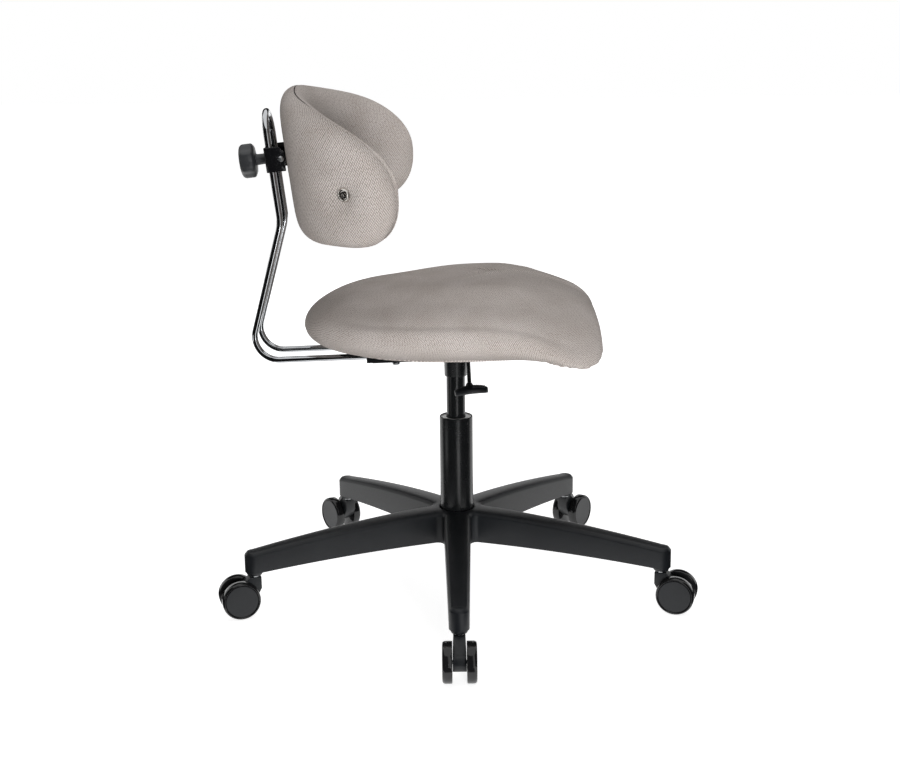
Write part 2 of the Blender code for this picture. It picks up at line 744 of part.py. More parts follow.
def build_base():
    low = [(x, y, HUB_BOTTOM) for x, y in hub_outline()]
    mesh = prism_mesh("five_star_base", low, (0.0, 0.0, LEG_ROOT_TOP - HUB_BOTTOM - LEG_CROWN))
    base = part("five_star_base", mesh, CHAIR, "black_nylon")
    leg = leg_mesh()
    cells = leg_cells_mesh()
    boss = cylinder_mesh("boss_form", BOSS_RADIUS - 0.0015, (CASTER_CIRCLE, 0.0, BOSS_BOTTOM),
                         (CASTER_CIRCLE, 0.0, LEG_TIP_BOTTOM + 0.003), 14, BOSS_RADIUS)
    socket = cylinder_mesh("stem_socket", STEM_RADIUS + GAP, (CASTER_CIRCLE, 0.0, BOSS_BOTTOM - 0.004),
                           (CASTER_CIRCLE, 0.0, BOSS_BOTTOM + STEM_DEPTH_IN_LEG + GAP), 10)
    turns = [Matrix.Rotation(leg_angle(index), 4, "Z") for index in range(LEG_COUNT)]
    for form, operation in ((leg, "UNION"), (boss, "UNION"), (cells, "DIFFERENCE"), (socket, "DIFFERENCE")):
        for turn in turns:
            combine(base, tool(form.name, form, CHAIR, turn), operation)
    bore = TUBE_RADIUS + GAP
    mouth = [
        (0.0, LEG_ROOT_TOP + 0.006), (bore + HUB_MOUTH + 0.006, LEG_ROOT_TOP + 0.006),
        (bore, LEG_ROOT_TOP - HUB_MOUTH), (bore - TUBE_TAPER, HUB_BOTTOM),
        (bore - TUBE_TAPER, HUB_BOTTOM - 0.005), (0.0, HUB_BOTTOM - 0.005),
    ]
    combine(base, turned_tool("hub_bore", mouth, 28, CHAIR), "DIFFERENCE")


# Gas lift

def build_gas_lift():
    stub = ROD_STUB_RADIUS + GAP
    tube = [
        (TUBE_INNER, TUBE_TOP), (TUBE_RADIUS - TUBE_RIM, TUBE_TOP), (TUBE_RADIUS, TUBE_TOP - TUBE_RIM),
        (TUBE_RADIUS, LEG_ROOT_TOP - HUB_MOUTH), (TUBE_RADIUS - TUBE_TAPER, HUB_BOTTOM),
        (stub, HUB_BOTTOM), (stub, HUB_BOTTOM + TUBE_FLOOR), (TUBE_INNER, HUB_BOTTOM + TUBE_FLOOR),
    ]
    turned("column_tube", tube, 28, CHAIR, "black_painted_steel", closed=True)
    bush_top = TUBE_TOP - BUSH_SETBACK
    bush = [
        (PISTON_RADIUS + GAP, bush_top), (TUBE_INNER - GAP, bush_top),
        (TUBE_INNER - GAP, bush_top - BUSH_LENGTH), (PISTON_RADIUS + GAP, bush_top - BUSH_LENGTH),
    ]
    turned("guide_bush", bush, 28, CHAIR, "pale_bush_plastic", closed=True)
    bearing = [
        (stub, BEARING_TOP), (BEARING_RADIUS, BEARING_TOP),
        (BEARING_RADIUS, BEARING_BOTTOM), (stub, BEARING_BOTTOM),
    ]
    turned("thrust_bearing", bearing, 14, CHAIR, "zinc_steel", closed=True)

    head = PISTON_CHAMBER_RADIUS - GAP
    stub_bottom = HUB_BOTTOM - 3.0 * CLIP_HEIGHT
    rod = [
        (0.0, ROD_TOP), (head, ROD_TOP), (head, ROD_TOP - ROD_HEAD_HEIGHT),
        (ROD_RADIUS, ROD_TOP - ROD_HEAD_HEIGHT), (ROD_RADIUS, ROD_BOTTOM),
        (ROD_STUB_RADIUS, ROD_BOTTOM), (ROD_STUB_RADIUS, stub_bottom), (0.0, stub_bottom),
    ]
    turned("piston_rod", rod, 12, SWIVEL, "zinc_steel")
    clip_top = HUB_BOTTOM - GAP
    clip = [
        (stub, clip_top), (CLIP_RADIUS, clip_top),
        (CLIP_RADIUS, clip_top - CLIP_HEIGHT), (stub, clip_top - CLIP_HEIGHT),
    ]
    ring = turned("rod_clip", clip, 12, SWIVEL, "zinc_steel", closed=True)
    slot = block_mesh("clip_slot", (0.0, -CLIP_SLOT / 2.0, clip_top - 2.0 * CLIP_HEIGHT),
                      (2.0 * CLIP_RADIUS, CLIP_SLOT / 2.0, clip_top + CLIP_HEIGHT))
    combine(ring, tool("clip_slot", slot, SWIVEL), "DIFFERENCE")

    pin = RELEASE_PIN_RADIUS + GAP
    neck = ROD_RADIUS + GAP
    chamber_bottom = PISTON_BOTTOM + PISTON_NECK
    chamber_top = chamber_bottom + PISTON_CHAMBER_LENGTH
    piston = [
        (pin, PISTON_TOP), (PISTON_RADIUS - PISTON_TAPER, PISTON_TOP), (PISTON_RADIUS, SOCKET_BOTTOM),
        (PISTON_RADIUS, PISTON_BOTTOM), (neck, PISTON_BOTTOM), (neck, chamber_bottom),
        (PISTON_CHAMBER_RADIUS, chamber_bottom), (PISTON_CHAMBER_RADIUS, chamber_top), (pin, chamber_top),
    ]
    turned("gas_piston", piston, 24, LIFT, "black_painted_steel", closed=True)
    pin_top = PISTON_TOP + RELEASE_PIN_SHOWING
    release = [
        (0.0, pin_top), (RELEASE_PIN_RADIUS - 0.0006, pin_top), (RELEASE_PIN_RADIUS, pin_top - 0.0006),
        (RELEASE_PIN_RADIUS, pin_top - RELEASE_PIN_LENGTH), (0.0, pin_top - RELEASE_PIN_LENGTH),
    ]
    turned("release_pin", release, 10, LIFT, "zinc_steel")


# Seat plate, pan, screws and bar clamp

def screw_profile(head_bottom, length):
    top = head_bottom + SCREW_HEAD_HEIGHT
    return [
        (0.0, top + length), (SCREW_RADIUS, top + length), (SCREW_RADIUS, top),
        (SCREW_HEAD_RADIUS, top), (SCREW_HEAD_RADIUS, top - 0.6 * SCREW_HEAD_HEIGHT),
        (0.6 * SCREW_HEAD_RADIUS, head_bottom), (0.0, head_bottom),
    ]


def seat_screw_places():
    return [(x, y) for x in SEAT_SCREW_X for y in (-SEAT_SCREW_Y, SEAT_SCREW_Y)]


def clamp_screw_places():
    y = BAR_SPACING / 2.0 + BAR_RADIUS + BAR_CLAMP_WALL + BAR_CLAMP_LUG / 2.0
    return [(BAR_CLAMP_SCREW_X, -y), (BAR_CLAMP_SCREW_X, y)]


def screw_holes_mesh(name, places, low, high):
    bm = bmesh.new()
    for x, y in places:
        add_cylinder(bm, SCREW_RADIUS + GAP, (x, y, low), (x, y, high), 10)
    return mesh_from(bm, name)


def build_seat_plate():
    half = PLATE_WIDTH / 2.0
    inner = half - PLATE_THICKNESS
    low = PLATE_BOTTOM - PLATE_FLANGE
    section = [(-half, low), (-inner, low), (-inner, PLATE_BOTTOM), (inner, PLATE_BOTTOM), (inner, low),
               (half, low), (half, PLATE_TOP), (-half, PLATE_TOP)]
    mesh = prism_mesh("seat_plate", [(-PLATE_REAR, y, z) for y, z in section],
                      (PLATE_FRONT + PLATE_REAR, 0.0, 0.0))
    plate = part("seat_plate", mesh, SEAT, "black_painted_steel")

    socket = cylinder_mesh("socket_form", SOCKET_RADIUS, (0.0, 0.0, SOCKET_BOTTOM),
                           (0.0, 0.0, PLATE_BOTTOM + PLATE_THICKNESS / 2.0), 24, SOCKET_RADIUS + SOCKET_FLARE)
    combine(plate, tool("socket_form", socket, LIFT), "UNION")
    ears = bmesh.new()
    ear_inner = LEVER_BARREL_WIDTH / 2.0 + GAP
    for sign in (-1.0, 1.0):
        near = LEVER_X + sign * ear_inner
        far = LEVER_X + sign * (ear_inner + EAR_THICKNESS)
        add_block(ears, (min(near, far), LEVER_PIVOT_Y - LEVER_BARREL_RADIUS,
                         LEVER_PIVOT_Z - LEVER_BARREL_RADIUS),
                  (max(near, far), LEVER_PIVOT_Y + LEVER_BARREL_RADIUS, PLATE_BOTTOM + PLATE_THICKNESS / 2.0))
    combine(plate, tool("lever_ears", mesh_from(ears, "lever_ears"), LIFT), "UNION")

    bore = PISTON_RADIUS + GAP
    taper = [
        (0.0, PLATE_TOP + 0.005), (bore - PISTON_TAPER, PLATE_TOP + 0.005), (bore - PISTON_TAPER, PISTON_TOP),
        (bore, SOCKET_BOTTOM), (bore, SOCKET_BOTTOM - 0.005), (0.0, SOCKET_BOTTOM - 0.005),
    ]
    combine(plate, turned_tool("socket_bore", taper, 24, LIFT), "DIFFERENCE")
    slot_half = LEVER_RADIUS + 0.0015
    slot = block_mesh("lever_slot", (0.5 * PISTON_RADIUS, -slot_half, PISTON_TOP - GAP),
                      (SOCKET_RADIUS + SOCKET_FLARE + 0.003, slot_half, PLATE_BOTTOM - GAP))
    turn = Matrix.Rotation(math.atan2(LEVER_PIVOT_Y + LEVER_ELBOW, LEVER_X), 4, "Z")
    combine(plate, tool("lever_slot", slot, LIFT, turn), "DIFFERENCE")
    pin_reach = ear_inner + 2.0 * EAR_THICKNESS
    pin_hole = cylinder_mesh("lever_pin_hole", LEVER_PIN_RADIUS + GAP, (-pin_reach, 0.0, 0.0),
                             (pin_reach, 0.0, 0.0), 10)
    combine(plate, tool("lever_pin_hole", pin_hole, LEVER), "DIFFERENCE")
    holes = screw_holes_mesh("plate_holes", seat_screw_places() + clamp_screw_places(),
                             low - 0.005, PLATE_TOP + 0.005)
    combine(plate, tool("plate_holes", holes, SEAT), "DIFFERENCE")
    pin_half = ear_inner + EAR_THICKNESS
    pin = cylinder_mesh("lever_pin", LEVER_PIN_RADIUS, (-pin_half, 0.0, 0.0), (pin_half, 0.0, 0.0), 10)
    part("lever_pin", pin, LIFT, "zinc_steel", Matrix.Translation((LEVER_X, LEVER_PIVOT_Y, LEVER_PIVOT_Z)))

    for number, (x, y) in enumerate(seat_screw_places(), start=1):
        head_bottom = PLATE_BOTTOM - GAP - SCREW_HEAD_HEIGHT
        length = GAP + PLATE_THICKNESS + GAP + SCREW_BITE
        turned(f"seat_screw_{number}", screw_profile(head_bottom, length), 10, SEAT, "zinc_steel",
               basis=Matrix.Translation((x, y, 0.0)))


def build_bar_clamp():
    rod_z = BAR_Z
    bottom = rod_z - BAR_RADIUS - BAR_CLAMP_WALL
    top = PLATE_BOTTOM - GAP
    half = BAR_SPACING / 2.0 + BAR_RADIUS + BAR_CLAMP_WALL + BAR_CLAMP_LUG
    edge = BAR_CLAMP_WALL
    section = [(edge - half, bottom), (half - edge, bottom), (half, bottom + edge), (half, top),
               (-half, top), (-half, bottom + edge)]
    rear, front = BAR_CLAMP_X
    mesh = prism_mesh("bar_clamp", [(rear, y, z) for y, z in section], (front - rear, 0.0, 0.0))
    clamp = part("bar_clamp", mesh, SEAT, "black_nylon")
    bores = bmesh.new()
    for sign in (-1.0, 1.0):
        y = sign * BAR_SPACING / 2.0
        add_cylinder(bores, BAR_RADIUS + GAP, (rear - 0.01, y, rod_z), (front + 0.01, y, rod_z), 12)
    combine(clamp, tool("clamp_bores", mesh_from(bores, "clamp_bores"), SEAT), "DIFFERENCE")
    holes = screw_holes_mesh("clamp_holes", clamp_screw_places(), bottom - 0.005, top + 0.005)
    combine(clamp, tool("clamp_holes", holes, SEAT), "DIFFERENCE")
    head_bottom = bottom - GAP - SCREW_HEAD_HEIGHT
    for number, (x, y) in enumerate(clamp_screw_places(), start=1):
        turned(f"clamp_screw_{number}", screw_profile(head_bottom, PLATE_TOP - bottom), 10, SEAT,
               "zinc_steel", basis=Matrix.Translation((x, y, 0.0)))


# Seat cushion and pan

def signed_power(value, power):
    return math.copysign(abs(value) ** power, value)


def seat_plan(angle, edge_inset=0.0, rear_inset=0.0):
    """Plan outline of the seat, round behind and squarer in front."""
    along = math.cos(angle)
    across = math.sin(angle)
    squareness = SEAT_FRONT_SQUARENESS if along >= 0.0 else SEAT_REAR_SQUARENESS
    reach = SEAT_FRONT - SEAT_WIDEST_X - edge_inset
    if along < 0.0:
        reach = SEAT_REAR + SEAT_WIDEST_X - rear_inset
    x = SEAT_WIDEST_X + reach * signed_power(along, 2.0 / squareness)
    y = (SEAT_WIDTH / 2.0 - edge_inset) * signed_power(across, 2.0 / squareness)
    x += SEAT_CORNER_REACH * seat_frontness(x) * (2.0 * y / SEAT_WIDTH) ** 2
    return x, y


def seat_angles():
    return [2.0 * math.pi * step / SEAT_SEGMENTS for step in range(SEAT_SEGMENTS)]


def smooth_step(value):
    value = min(max(value, 0.0), 1.0)
    return value * value * (3.0 - 2.0 * value)


def seat_frontness(x):
    return smooth_step((x - 0.3 * SEAT_FRONT) / (0.7 * SEAT_FRONT))


def seat_rim(x, y):
    """Height of the cushion's widest line: raised at the front middle, drooping at its corners."""
    side = (2.0 * y / SEAT_WIDTH) ** 2
    return SEAT_RIM + seat_frontness(x) * (SEAT_FRONT_LIFT - SEAT_CORNER_DROOP * side)


def seat_underside(x, y):
    side = (2.0 * y / SEAT_WIDTH) ** 2
    return SEAT_UNDERSIDE - seat_frontness(x) * SEAT_CORNER_UNDERSIDE_DROOP * side


def seat_top_ring(share):
    """A ring of the crowned top: share 0 is the middle, 1 the rim."""
    ring = []
    for angle in seat_angles():
        edge_x, edge_y = seat_plan(angle)
        x = SEAT_WIDEST_X + share * (edge_x - SEAT_WIDEST_X)
        y = share * edge_y
        crown = SEAT_CROWN - SEAT_CROWN_LOSS_FRONT * seat_frontness(x)
        ring.append((x, y, seat_rim(x, y) + crown * math.sqrt(1.0 - share ** 4)))
    return ring


def seat_lip_ring(share):
    """A ring of the drawn-in lower edge: share 0 is the rim, 1 the mouth of the pan's recess."""
    ring = []
    for angle in seat_angles():
        drawn_in = 1.0 - math.cos(share * math.pi / 2.0)
        x, y = seat_plan(angle, drawn_in * (PAN_EDGE_INSET - GAP), drawn_in * (PAN_REAR_INSET - GAP))
        rim = seat_rim(*seat_plan(angle))
        low = seat_underside(x, y)
        ring.append((x, y, rim + (low - rim) * math.sin(share * math.pi / 2.0)))
    return ring


def pan_ring(height, clearance):
    return [(*seat_plan(angle, PAN_EDGE_INSET - clearance, PAN_REAR_INSET - clearance), height)
            for angle in seat_angles()]


def build_seat():
    middle_crown = seat_rim(SEAT_WIDEST_X, 0.0) + SEAT_CROWN
    middle_crown -= SEAT_CROWN_LOSS_FRONT * seat_frontness(SEAT_WIDEST_X)
    rings = [[(SEAT_WIDEST_X, 0.0, middle_crown)]]
    for step in range(1, SEAT_TOP_RINGS + 1):
        rings.append(seat_top_ring(math.sin(step / SEAT_TOP_RINGS * math.pi / 2.0)))
    for share in (0.25, 0.5, 0.75, 1.0):
        rings.append(seat_lip_ring(share))
    rings.append(pan_ring(PAN_TOP + GAP, GAP))
    rings.append([(SEAT_WIDEST_X, 0.0, PAN_TOP + GAP)])
    part("seat_cushion", loft_mesh("seat_cushion", rings), SEAT, "grey_fabric")

    pan = part("seat_pan", loft_mesh("seat_pan", [pan_ring(PAN_BOTTOM, 0.0), pan_ring(PAN_TOP, 0.0)]),
               SEAT, "plywood")
    holes = screw_holes_mesh("pan_holes", seat_screw_places(), PAN_BOTTOM - 0.005,
                             PAN_BOTTOM + SCREW_BITE + GAP)
    combine(pan, tool("pan_holes", holes, SEAT), "DIFFERENCE")


# Back bar

def bar_side_path():
    """Side view of one leg of the bar, from under the seat to where the top loop starts."""
    knee = Vector((BAR_KNEE_X, 0.0, BAR_KNEE_Z))
    corner = Vector((BAR_KNEE_X - BAR_KNEE_RISE * math.tan(BAR_INCLINE), 0.0, BAR_Z))
    top = knee + BAR_UPPER_LENGTH * Vector((-math.sin(BAR_LEAN), 0.0, math.cos(BAR_LEAN)))
    front = Vector((BAR_FRONT_X, 0.0, BAR_Z))
    return rounded_path([front, corner, knee, top], (BAR_LOW_BEND, BAR_KNEE_BEND), 7)


def build_back_bar():
    half = Vector((0.0, BAR_SPACING / 2.0, 0.0))
    side = bar_side_path()
    up = Vector((-math.sin(BAR_LEAN), 0.0, math.cos(BAR_LEAN)))
    path = [point - half for point in side]
    steps = 12
    for step in range(1, steps):
        angle = math.pi * step / steps
        path.append(side[-1] - half * math.cos(angle) + up * (half.y * math.sin(angle)))
    path += [point + half for point in reversed(side)]
    part("back_bar", tube_mesh("back_bar", path, BAR_RADIUS, 3), SEAT, "chrome")


# Height lever

def lever_path():
    """From above the release pin, straight through the barrel, then out and down to the paddle."""
    pin = Vector((-LEVER_X, -LEVER_PIVOT_Y, 0.0))
    elbow = Vector((0.0, LEVER_ELBOW, 0.0))
    bend = Vector((0.0, -0.6 * LEVER_ELBOW, 0.0))
    tip = Vector((LEVER_SIDE, -LEVER_REACH, -LEVER_FALL))
    return rounded_path([pin, elbow, bend, tip], (LEVER_ELBOW, LEVER_ELBOW), 4)


def paddle_rings():
    """Cross-sections of the finger paddle from its left end to its right end."""
    rings = []
    centre_y = -LEVER_REACH - PADDLE_DEPTH / 2.0 + PADDLE_GRIP
    stations = ((-1.0, 0.35), (-0.88, 0.72), (-0.5, 0.95), (0.0, 1.0), (0.5, 0.92), (0.88, 0.66), (1.0, 0.3))
    for share, swell in stations:
        x = LEVER_SIDE + PADDLE_SIDE + share * PADDLE_WIDTH / 2.0
        sag = -PADDLE_SAG * share * share
        ring = []
        for step in range(10):
            angle = 2.0 * math.pi * step / 10
            y = centre_y + swell * PADDLE_DEPTH / 2.0 * math.cos(angle)
            thick = (0.45 + 0.55 * swell) * PADDLE_THICKNESS / 2.0
            ring.append((x, y, sag - LEVER_FALL - PADDLE_DROP + thick * math.sin(angle)))
        rings.append(ring)
    return rings


def build_lever():
    arm = part("lever_arm", tube_mesh("lever_arm", lever_path(), LEVER_RADIUS, 2), LEVER,
               "black_painted_steel")
    half = LEVER_BARREL_WIDTH / 2.0
    barrel = cylinder_mesh("lever_barrel", LEVER_BARREL_RADIUS, (-half, 0.0, 0.0), (half, 0.0, 0.0), 12)
    combine(arm, tool("lever_barrel", barrel, LEVER), "UNION")
    bore = cylinder_mesh("lever_bore", LEVER_PIN_RADIUS + GAP, (-2.0 * half, 0.0, 0.0),
                         (2.0 * half, 0.0, 0.0), 10)
    combine(arm, tool("lever_bore", bore, LEVER), "DIFFERENCE")
    lean = Matrix.Translation((0.0, 0.0, -LEVER_FALL)) @ Matrix.Rotation(PADDLE_LEAN, 4, "Y")
    lean = lean @ Matrix.Translation((0.0, 0.0, LEVER_FALL))
    paddle = part("lever_paddle", loft_mesh("lever_paddle", paddle_rings()), LEVER, "black_nylon", lean)
    grip = lever_path()
    along = (grip[-1] - grip[-2]).normalized()
    socket = cylinder_mesh("paddle_socket", LEVER_RADIUS + GAP, grip[-1] - 3.0 * PADDLE_GRIP * along,
                           grip[-1] + GAP * along, 10)
    combine(paddle, tool("paddle_socket", socket, LEVER), "DIFFERENCE")


# Backrest slider

def build_slider():
    half_height = CHANNEL_HEIGHT / 2.0
    bend_inner = CHANNEL_BEND - CHANNEL_SHEET
    outer_low = arc((WEB_REAR + CHANNEL_BEND, -CHEEK_OUTER + CHANNEL_BEND), CHANNEL_BEND,
                    math.radians(-90.0), math.radians(-180.0), 4)
    outer_high = arc((WEB_REAR + CHANNEL_BEND, CHEEK_OUTER - CHANNEL_BEND), CHANNEL_BEND,
                     math.radians(180.0), math.radians(90.0), 4)
    inner_high = arc((WEB_REAR + CHANNEL_BEND, CHEEK_OUTER - CHANNEL_BEND), bend_inner,
                     math.radians(90.0), math.radians(180.0), 3)
    inner_low = arc((WEB_REAR + CHANNEL_BEND, -CHEEK_OUTER + CHANNEL_BEND), bend_inner,
                    math.radians(180.0), math.radians(270.0), 3)
    section = [(CHANNEL_FRONT, -CHEEK_OUTER)] + outer_low + outer_high + [(CHANNEL_FRONT, CHEEK_OUTER)]
    section += [(CHANNEL_FRONT, CHEEK_INNER)] + inner_high + inner_low + [(CHANNEL_FRONT, -CHEEK_INNER)]
    mesh = prism_mesh("clamp_channel", [(x, y, -half_height) for x, y in section], (0.0, 0.0, CHANNEL_HEIGHT))
    channel = part("clamp_channel", mesh, SLIDER, "black_painted_steel")
    holes = bmesh.new()
    add_cylinder(holes, STUD_RADIUS + GAP, (WEB_REAR - 0.005, 0.0, 0.0), (0.0, 0.0, 0.0), 12)
    add_cylinder(holes, PIVOT_RADIUS + GAP, (PIVOT_X, -2.0 * CHEEK_OUTER, 0.0),
                 (PIVOT_X, 2.0 * CHEEK_OUTER, 0.0), 12)
    combine(channel, tool("channel_holes", mesh_from(holes, "channel_holes"), SLIDER), "DIFFERENCE")

    high = half_height + CHANNEL_CORNER
    wedge = [(CHANNEL_FRONT - 2.0 * CHANNEL_CORNER, high), (CHANNEL_FRONT + CHANNEL_CORNER, high),
             (CHANNEL_FRONT + CHANNEL_CORNER, half_height - 2.0 * CHANNEL_CORNER)]
    corners = prism_mesh("channel_corners", [(x, -2.0 * CHEEK_OUTER, z) for x, z in wedge],
                         (0.0, 4.0 * CHEEK_OUTER, 0.0))
    combine(channel, tool("channel_corners", corners, SLIDER), "DIFFERENCE")

    jaw_half = CHEEK_INNER - GAP
    jaw_rear = WEB_FRONT + GAP
    jaw_plan = [(JAW_FRONT, -jaw_half), (JAW_FRONT, jaw_half), (jaw_rear + bend_inner, jaw_half),
                (jaw_rear, jaw_half - bend_inner), (jaw_rear, bend_inner - jaw_half),
                (jaw_rear + bend_inner, -jaw_half)]
    mesh = prism_mesh("clamp_jaw", [(x, y, -JAW_HEIGHT / 2.0) for x, y in jaw_plan], (0.0, 0.0, JAW_HEIGHT))
    jaw = part("clamp_jaw", mesh, SLIDER, "black_painted_steel")
    grooves = bmesh.new()
    for sign in (-1.0, 1.0):
        y = sign * BAR_SPACING / 2.0
        corners = arc((0.0, y), BAR_RADIUS + GAP, math.radians(-90.0), math.radians(90.0), 6)
        rear = 2.0 * jaw_rear
        corners += [(rear, y + BAR_RADIUS + GAP), (rear, y - BAR_RADIUS - GAP)]
        groove = prism_mesh("groove", [(px, py, -JAW_HEIGHT) for px, py in corners],
                            (0.0, 0.0, 2.0 * JAW_HEIGHT))
        grooves.from_mesh(groove)
        bpy.data.meshes.remove(groove)
    combine(jaw, tool("jaw_grooves", mesh_from(grooves, "jaw_grooves"), SLIDER), "DIFFERENCE")
    stud_front = jaw_rear + STUD_BITE
    stud_hole = cylinder_mesh("stud_hole", STUD_RADIUS + GAP, (2.0 * jaw_rear, 0.0, 0.0),
                              (stud_front + GAP, 0.0, 0.0), 12)
    combine(jaw, tool("stud_hole", stud_hole, SLIDER), "DIFFERENCE")

    head_z = CHEEK_OUTER + GAP
    dome = [(0.0, head_z + PIVOT_HEAD_HEIGHT), (0.55 * PIVOT_HEAD_RADIUS, head_z + 0.82 * PIVOT_HEAD_HEIGHT),
            (PIVOT_HEAD_RADIUS, head_z + 0.3 * PIVOT_HEAD_HEIGHT), (PIVOT_HEAD_RADIUS, head_z),
            (PIVOT_RADIUS, head_z)]
    shaft = dome + [(radius, -height) for radius, height in reversed(dome)]
    turned("pivot_shaft", shaft, 12, SLIDER, "zinc_steel",
           basis=Matrix.Translation((PIVOT_X, 0.0, 0.0)) @ Matrix.Rotation(math.pi / 2.0, 4, "X"))
    build_knob(stud_front)


def knob_ring(x, radius, lobe):
    ring = []
    count = 4 * KNOB_LOBES
    for step in range(count):
        angle = 2.0 * math.pi * step / count
        reach = radius + lobe * math.cos(KNOB_LOBES * angle)
        ring.append((x, reach * math.cos(angle), reach * math.sin(angle)))
    return ring


def build_knob(stud_front):
    neck_front = WEB_REAR - GAP
    grip_front = neck_front - KNOB_NECK_LENGTH
    back = grip_front - KNOB_THICKNESS
    rings = [
        knob_ring(neck_front, 0.94 * KNOB_NECK_RADIUS, 0.0),
        knob_ring(grip_front, KNOB_NECK_RADIUS, 0.0),
        knob_ring(grip_front - 0.06 * KNOB_THICKNESS, 0.80 * KNOB_RADIUS, 0.5 * KNOB_LOBE),
        knob_ring(grip_front - 0.20 * KNOB_THICKNESS, KNOB_RADIUS - KNOB_LOBE, KNOB_LOBE),
        knob_ring(grip_front - 0.72 * KNOB_THICKNESS, KNOB_RADIUS - KNOB_LOBE, KNOB_LOBE),
        knob_ring(grip_front - 0.93 * KNOB_THICKNESS, 0.88 * KNOB_RADIUS, 0.6 * KNOB_LOBE),
        knob_ring(back, 0.70 * KNOB_RADIUS, 0.0),
    ]
    knob = part("hand_knob", loft_mesh("hand_knob", rings), KNOB, "black_nylon")
    stud_rear = neck_front - KNOB_STUD_DEPTH
    bore = cylinder_mesh("knob_bore", STUD_RADIUS + GAP, (stud_rear - GAP, 0.0, 0.0),
                         (WEB_REAR, 0.0, 0.0), 12)
    combine(knob, tool("knob_bore", bore, KNOB), "DIFFERENCE")
    stud = cylinder_mesh("knob_stud", STUD_RADIUS, (stud_rear, 0.0, 0.0), (stud_front, 0.0, 0.0), 12)
    part("knob_stud", stud, KNOB, "zinc_steel")


# Tilt bracket

def build_bracket():
    half = BRACKET_WIDTH / 2.0
    barrel = cylinder_mesh("tilt_bracket", BRACKET_BARREL_RADIUS, (0.0, -half, 0.0), (0.0, half, 0.0), 14)
    bracket = part("tilt_bracket", barrel, TILT, "black_painted_steel")
    near, far = BRACKET_ARM_Y
    for sign, name in ((-1.0, "arm_form_right"), (1.0, "arm_form_left")):
        sides = sorted((sign * near, sign * far))
        low = (0.0, sides[0], -BRACKET_ARM_HEIGHT / 2.0)
        high = (DISC_REAR + BRACKET_DISC_THICKNESS / 2.0, sides[1], BRACKET_ARM_HEIGHT / 2.0)
        combine(bracket, tool(name, block_mesh(name, low, high), TILT), "UNION")
    disc = cylinder_mesh("disc_form", BRACKET_DISC_RADIUS, (DISC_REAR, 0.0, 0.0), (DISC_FRONT, 0.0, 0.0), 24)
    combine(bracket, tool("disc_form", disc, DISC), "UNION")
    pivot = cylinder_mesh("pivot_bore", PIVOT_RADIUS + GAP, (0.0, -2.0 * half, 0.0),
                          (0.0, 2.0 * half, 0.0), 12)
    combine(bracket, tool("pivot_bore", pivot, TILT), "DIFFERENCE")
    hole = cylinder_mesh("disc_hole", TURN_BOLT_RADIUS + GAP, (DISC_REAR - 0.003, 0.0, 0.0),
                         (DISC_FRONT + 0.003, 0.0, 0.0), 12)
    combine(bracket, tool("disc_hole", hole, DISC), "DIFFERENCE")


# Backrest shell and pads

def pad_edge(angle, inset=0.0):
    """Outline of the pad laid flat: (distance round the arc, height)."""
    along = math.cos(angle)
    rise = math.sin(angle)
    if rise >= 0.0:
        bump = math.exp(-(along / PAD_SHOULDER_SPREAD) ** 2)
        fall = PAD_SHOULDER + (1.0 - PAD_SHOULDER) * bump
        height = PAD_TIP + (PAD_TOP - PAD_TIP - inset) * rise * fall
    else:
        notch = PAD_LOW_NOTCH * math.exp(-(along / PAD_LOW_NOTCH_SPREAD) ** 2)
        drop = math.sqrt(max(1.0 - abs(along) ** PAD_LOW_SQUARENESS, 0.0)) - notch
        height = PAD_TIP - (PAD_TIP - PAD_LOW - inset) * drop
    return (PAD_HALF_ARC - inset) * along, height


def bent(distance, height, offset):
    """A point of the flat pad, bent round the arc and moved out of the middle surface by offset."""
    angle = distance / SHELL_RADIUS
    radius = SHELL_RADIUS + offset
    return (PAD_AXIS_X - radius * math.cos(angle), radius * math.sin(angle), height)


def pad_ring(share, offset_at, inset=0.0):
    ring = []
    for step in range(PAD_SEGMENTS):
        distance, height = pad_edge(2.0 * math.pi * step / PAD_SEGMENTS, inset)
        distance *= share
        height = PAD_MIDDLE + share * (height - PAD_MIDDLE)
        ring.append(bent(distance, height, offset_at(distance, height, share)))
    return ring


def pillow(share):
    return math.sqrt(max(1.0 - share ** PAD_FULLNESS, 0.0))


def dimple(distance, height):
    """Depth of the two hollows that the buttons pull into the wings."""
    total = 0.0
    for sign in (-1.0, 1.0):
        apart = math.hypot(distance - sign * BUTTON_ANGLE * SHELL_RADIUS, height - BUTTON_HEIGHT)
        total += DIMPLE_DEPTH * math.exp(-(apart / DIMPLE_SPREAD) ** 2)
    return total


def outer_offset(distance, height, share):
    return GAP / 2.0 + PAD_OUTER_THICKNESS * pillow(share) - dimple(distance, height) * pillow(share)


def inner_offset(distance, height, share):
    return -GAP / 2.0 - PAD_INNER_THICKNESS * pillow(share)


def pad_rings(offset_at, flat_offset, recess_offset):
    """Crowned face, seam, flat margin and recess for the shell, from face to back."""
    rings = [[bent(0.0, PAD_MIDDLE, offset_at(0.0, PAD_MIDDLE, 0.0))]]
    for step in range(1, PAD_RINGS + 1):
        rings.append(pad_ring(math.sin(step / PAD_RINGS * math.pi / 2.0), offset_at))
    rings.append(pad_ring(1.0, lambda *place: flat_offset, SHELL_INSET - GAP))
    rings.append(pad_ring(1.0, lambda *place: recess_offset, SHELL_INSET - GAP))
    for share in SHELL_SHARES[1::-1]:
        rings.append(pad_ring(share, lambda *place: recess_offset, SHELL_INSET - GAP))
    rings.append([bent(0.0, PAD_MIDDLE, recess_offset)])
    return rings


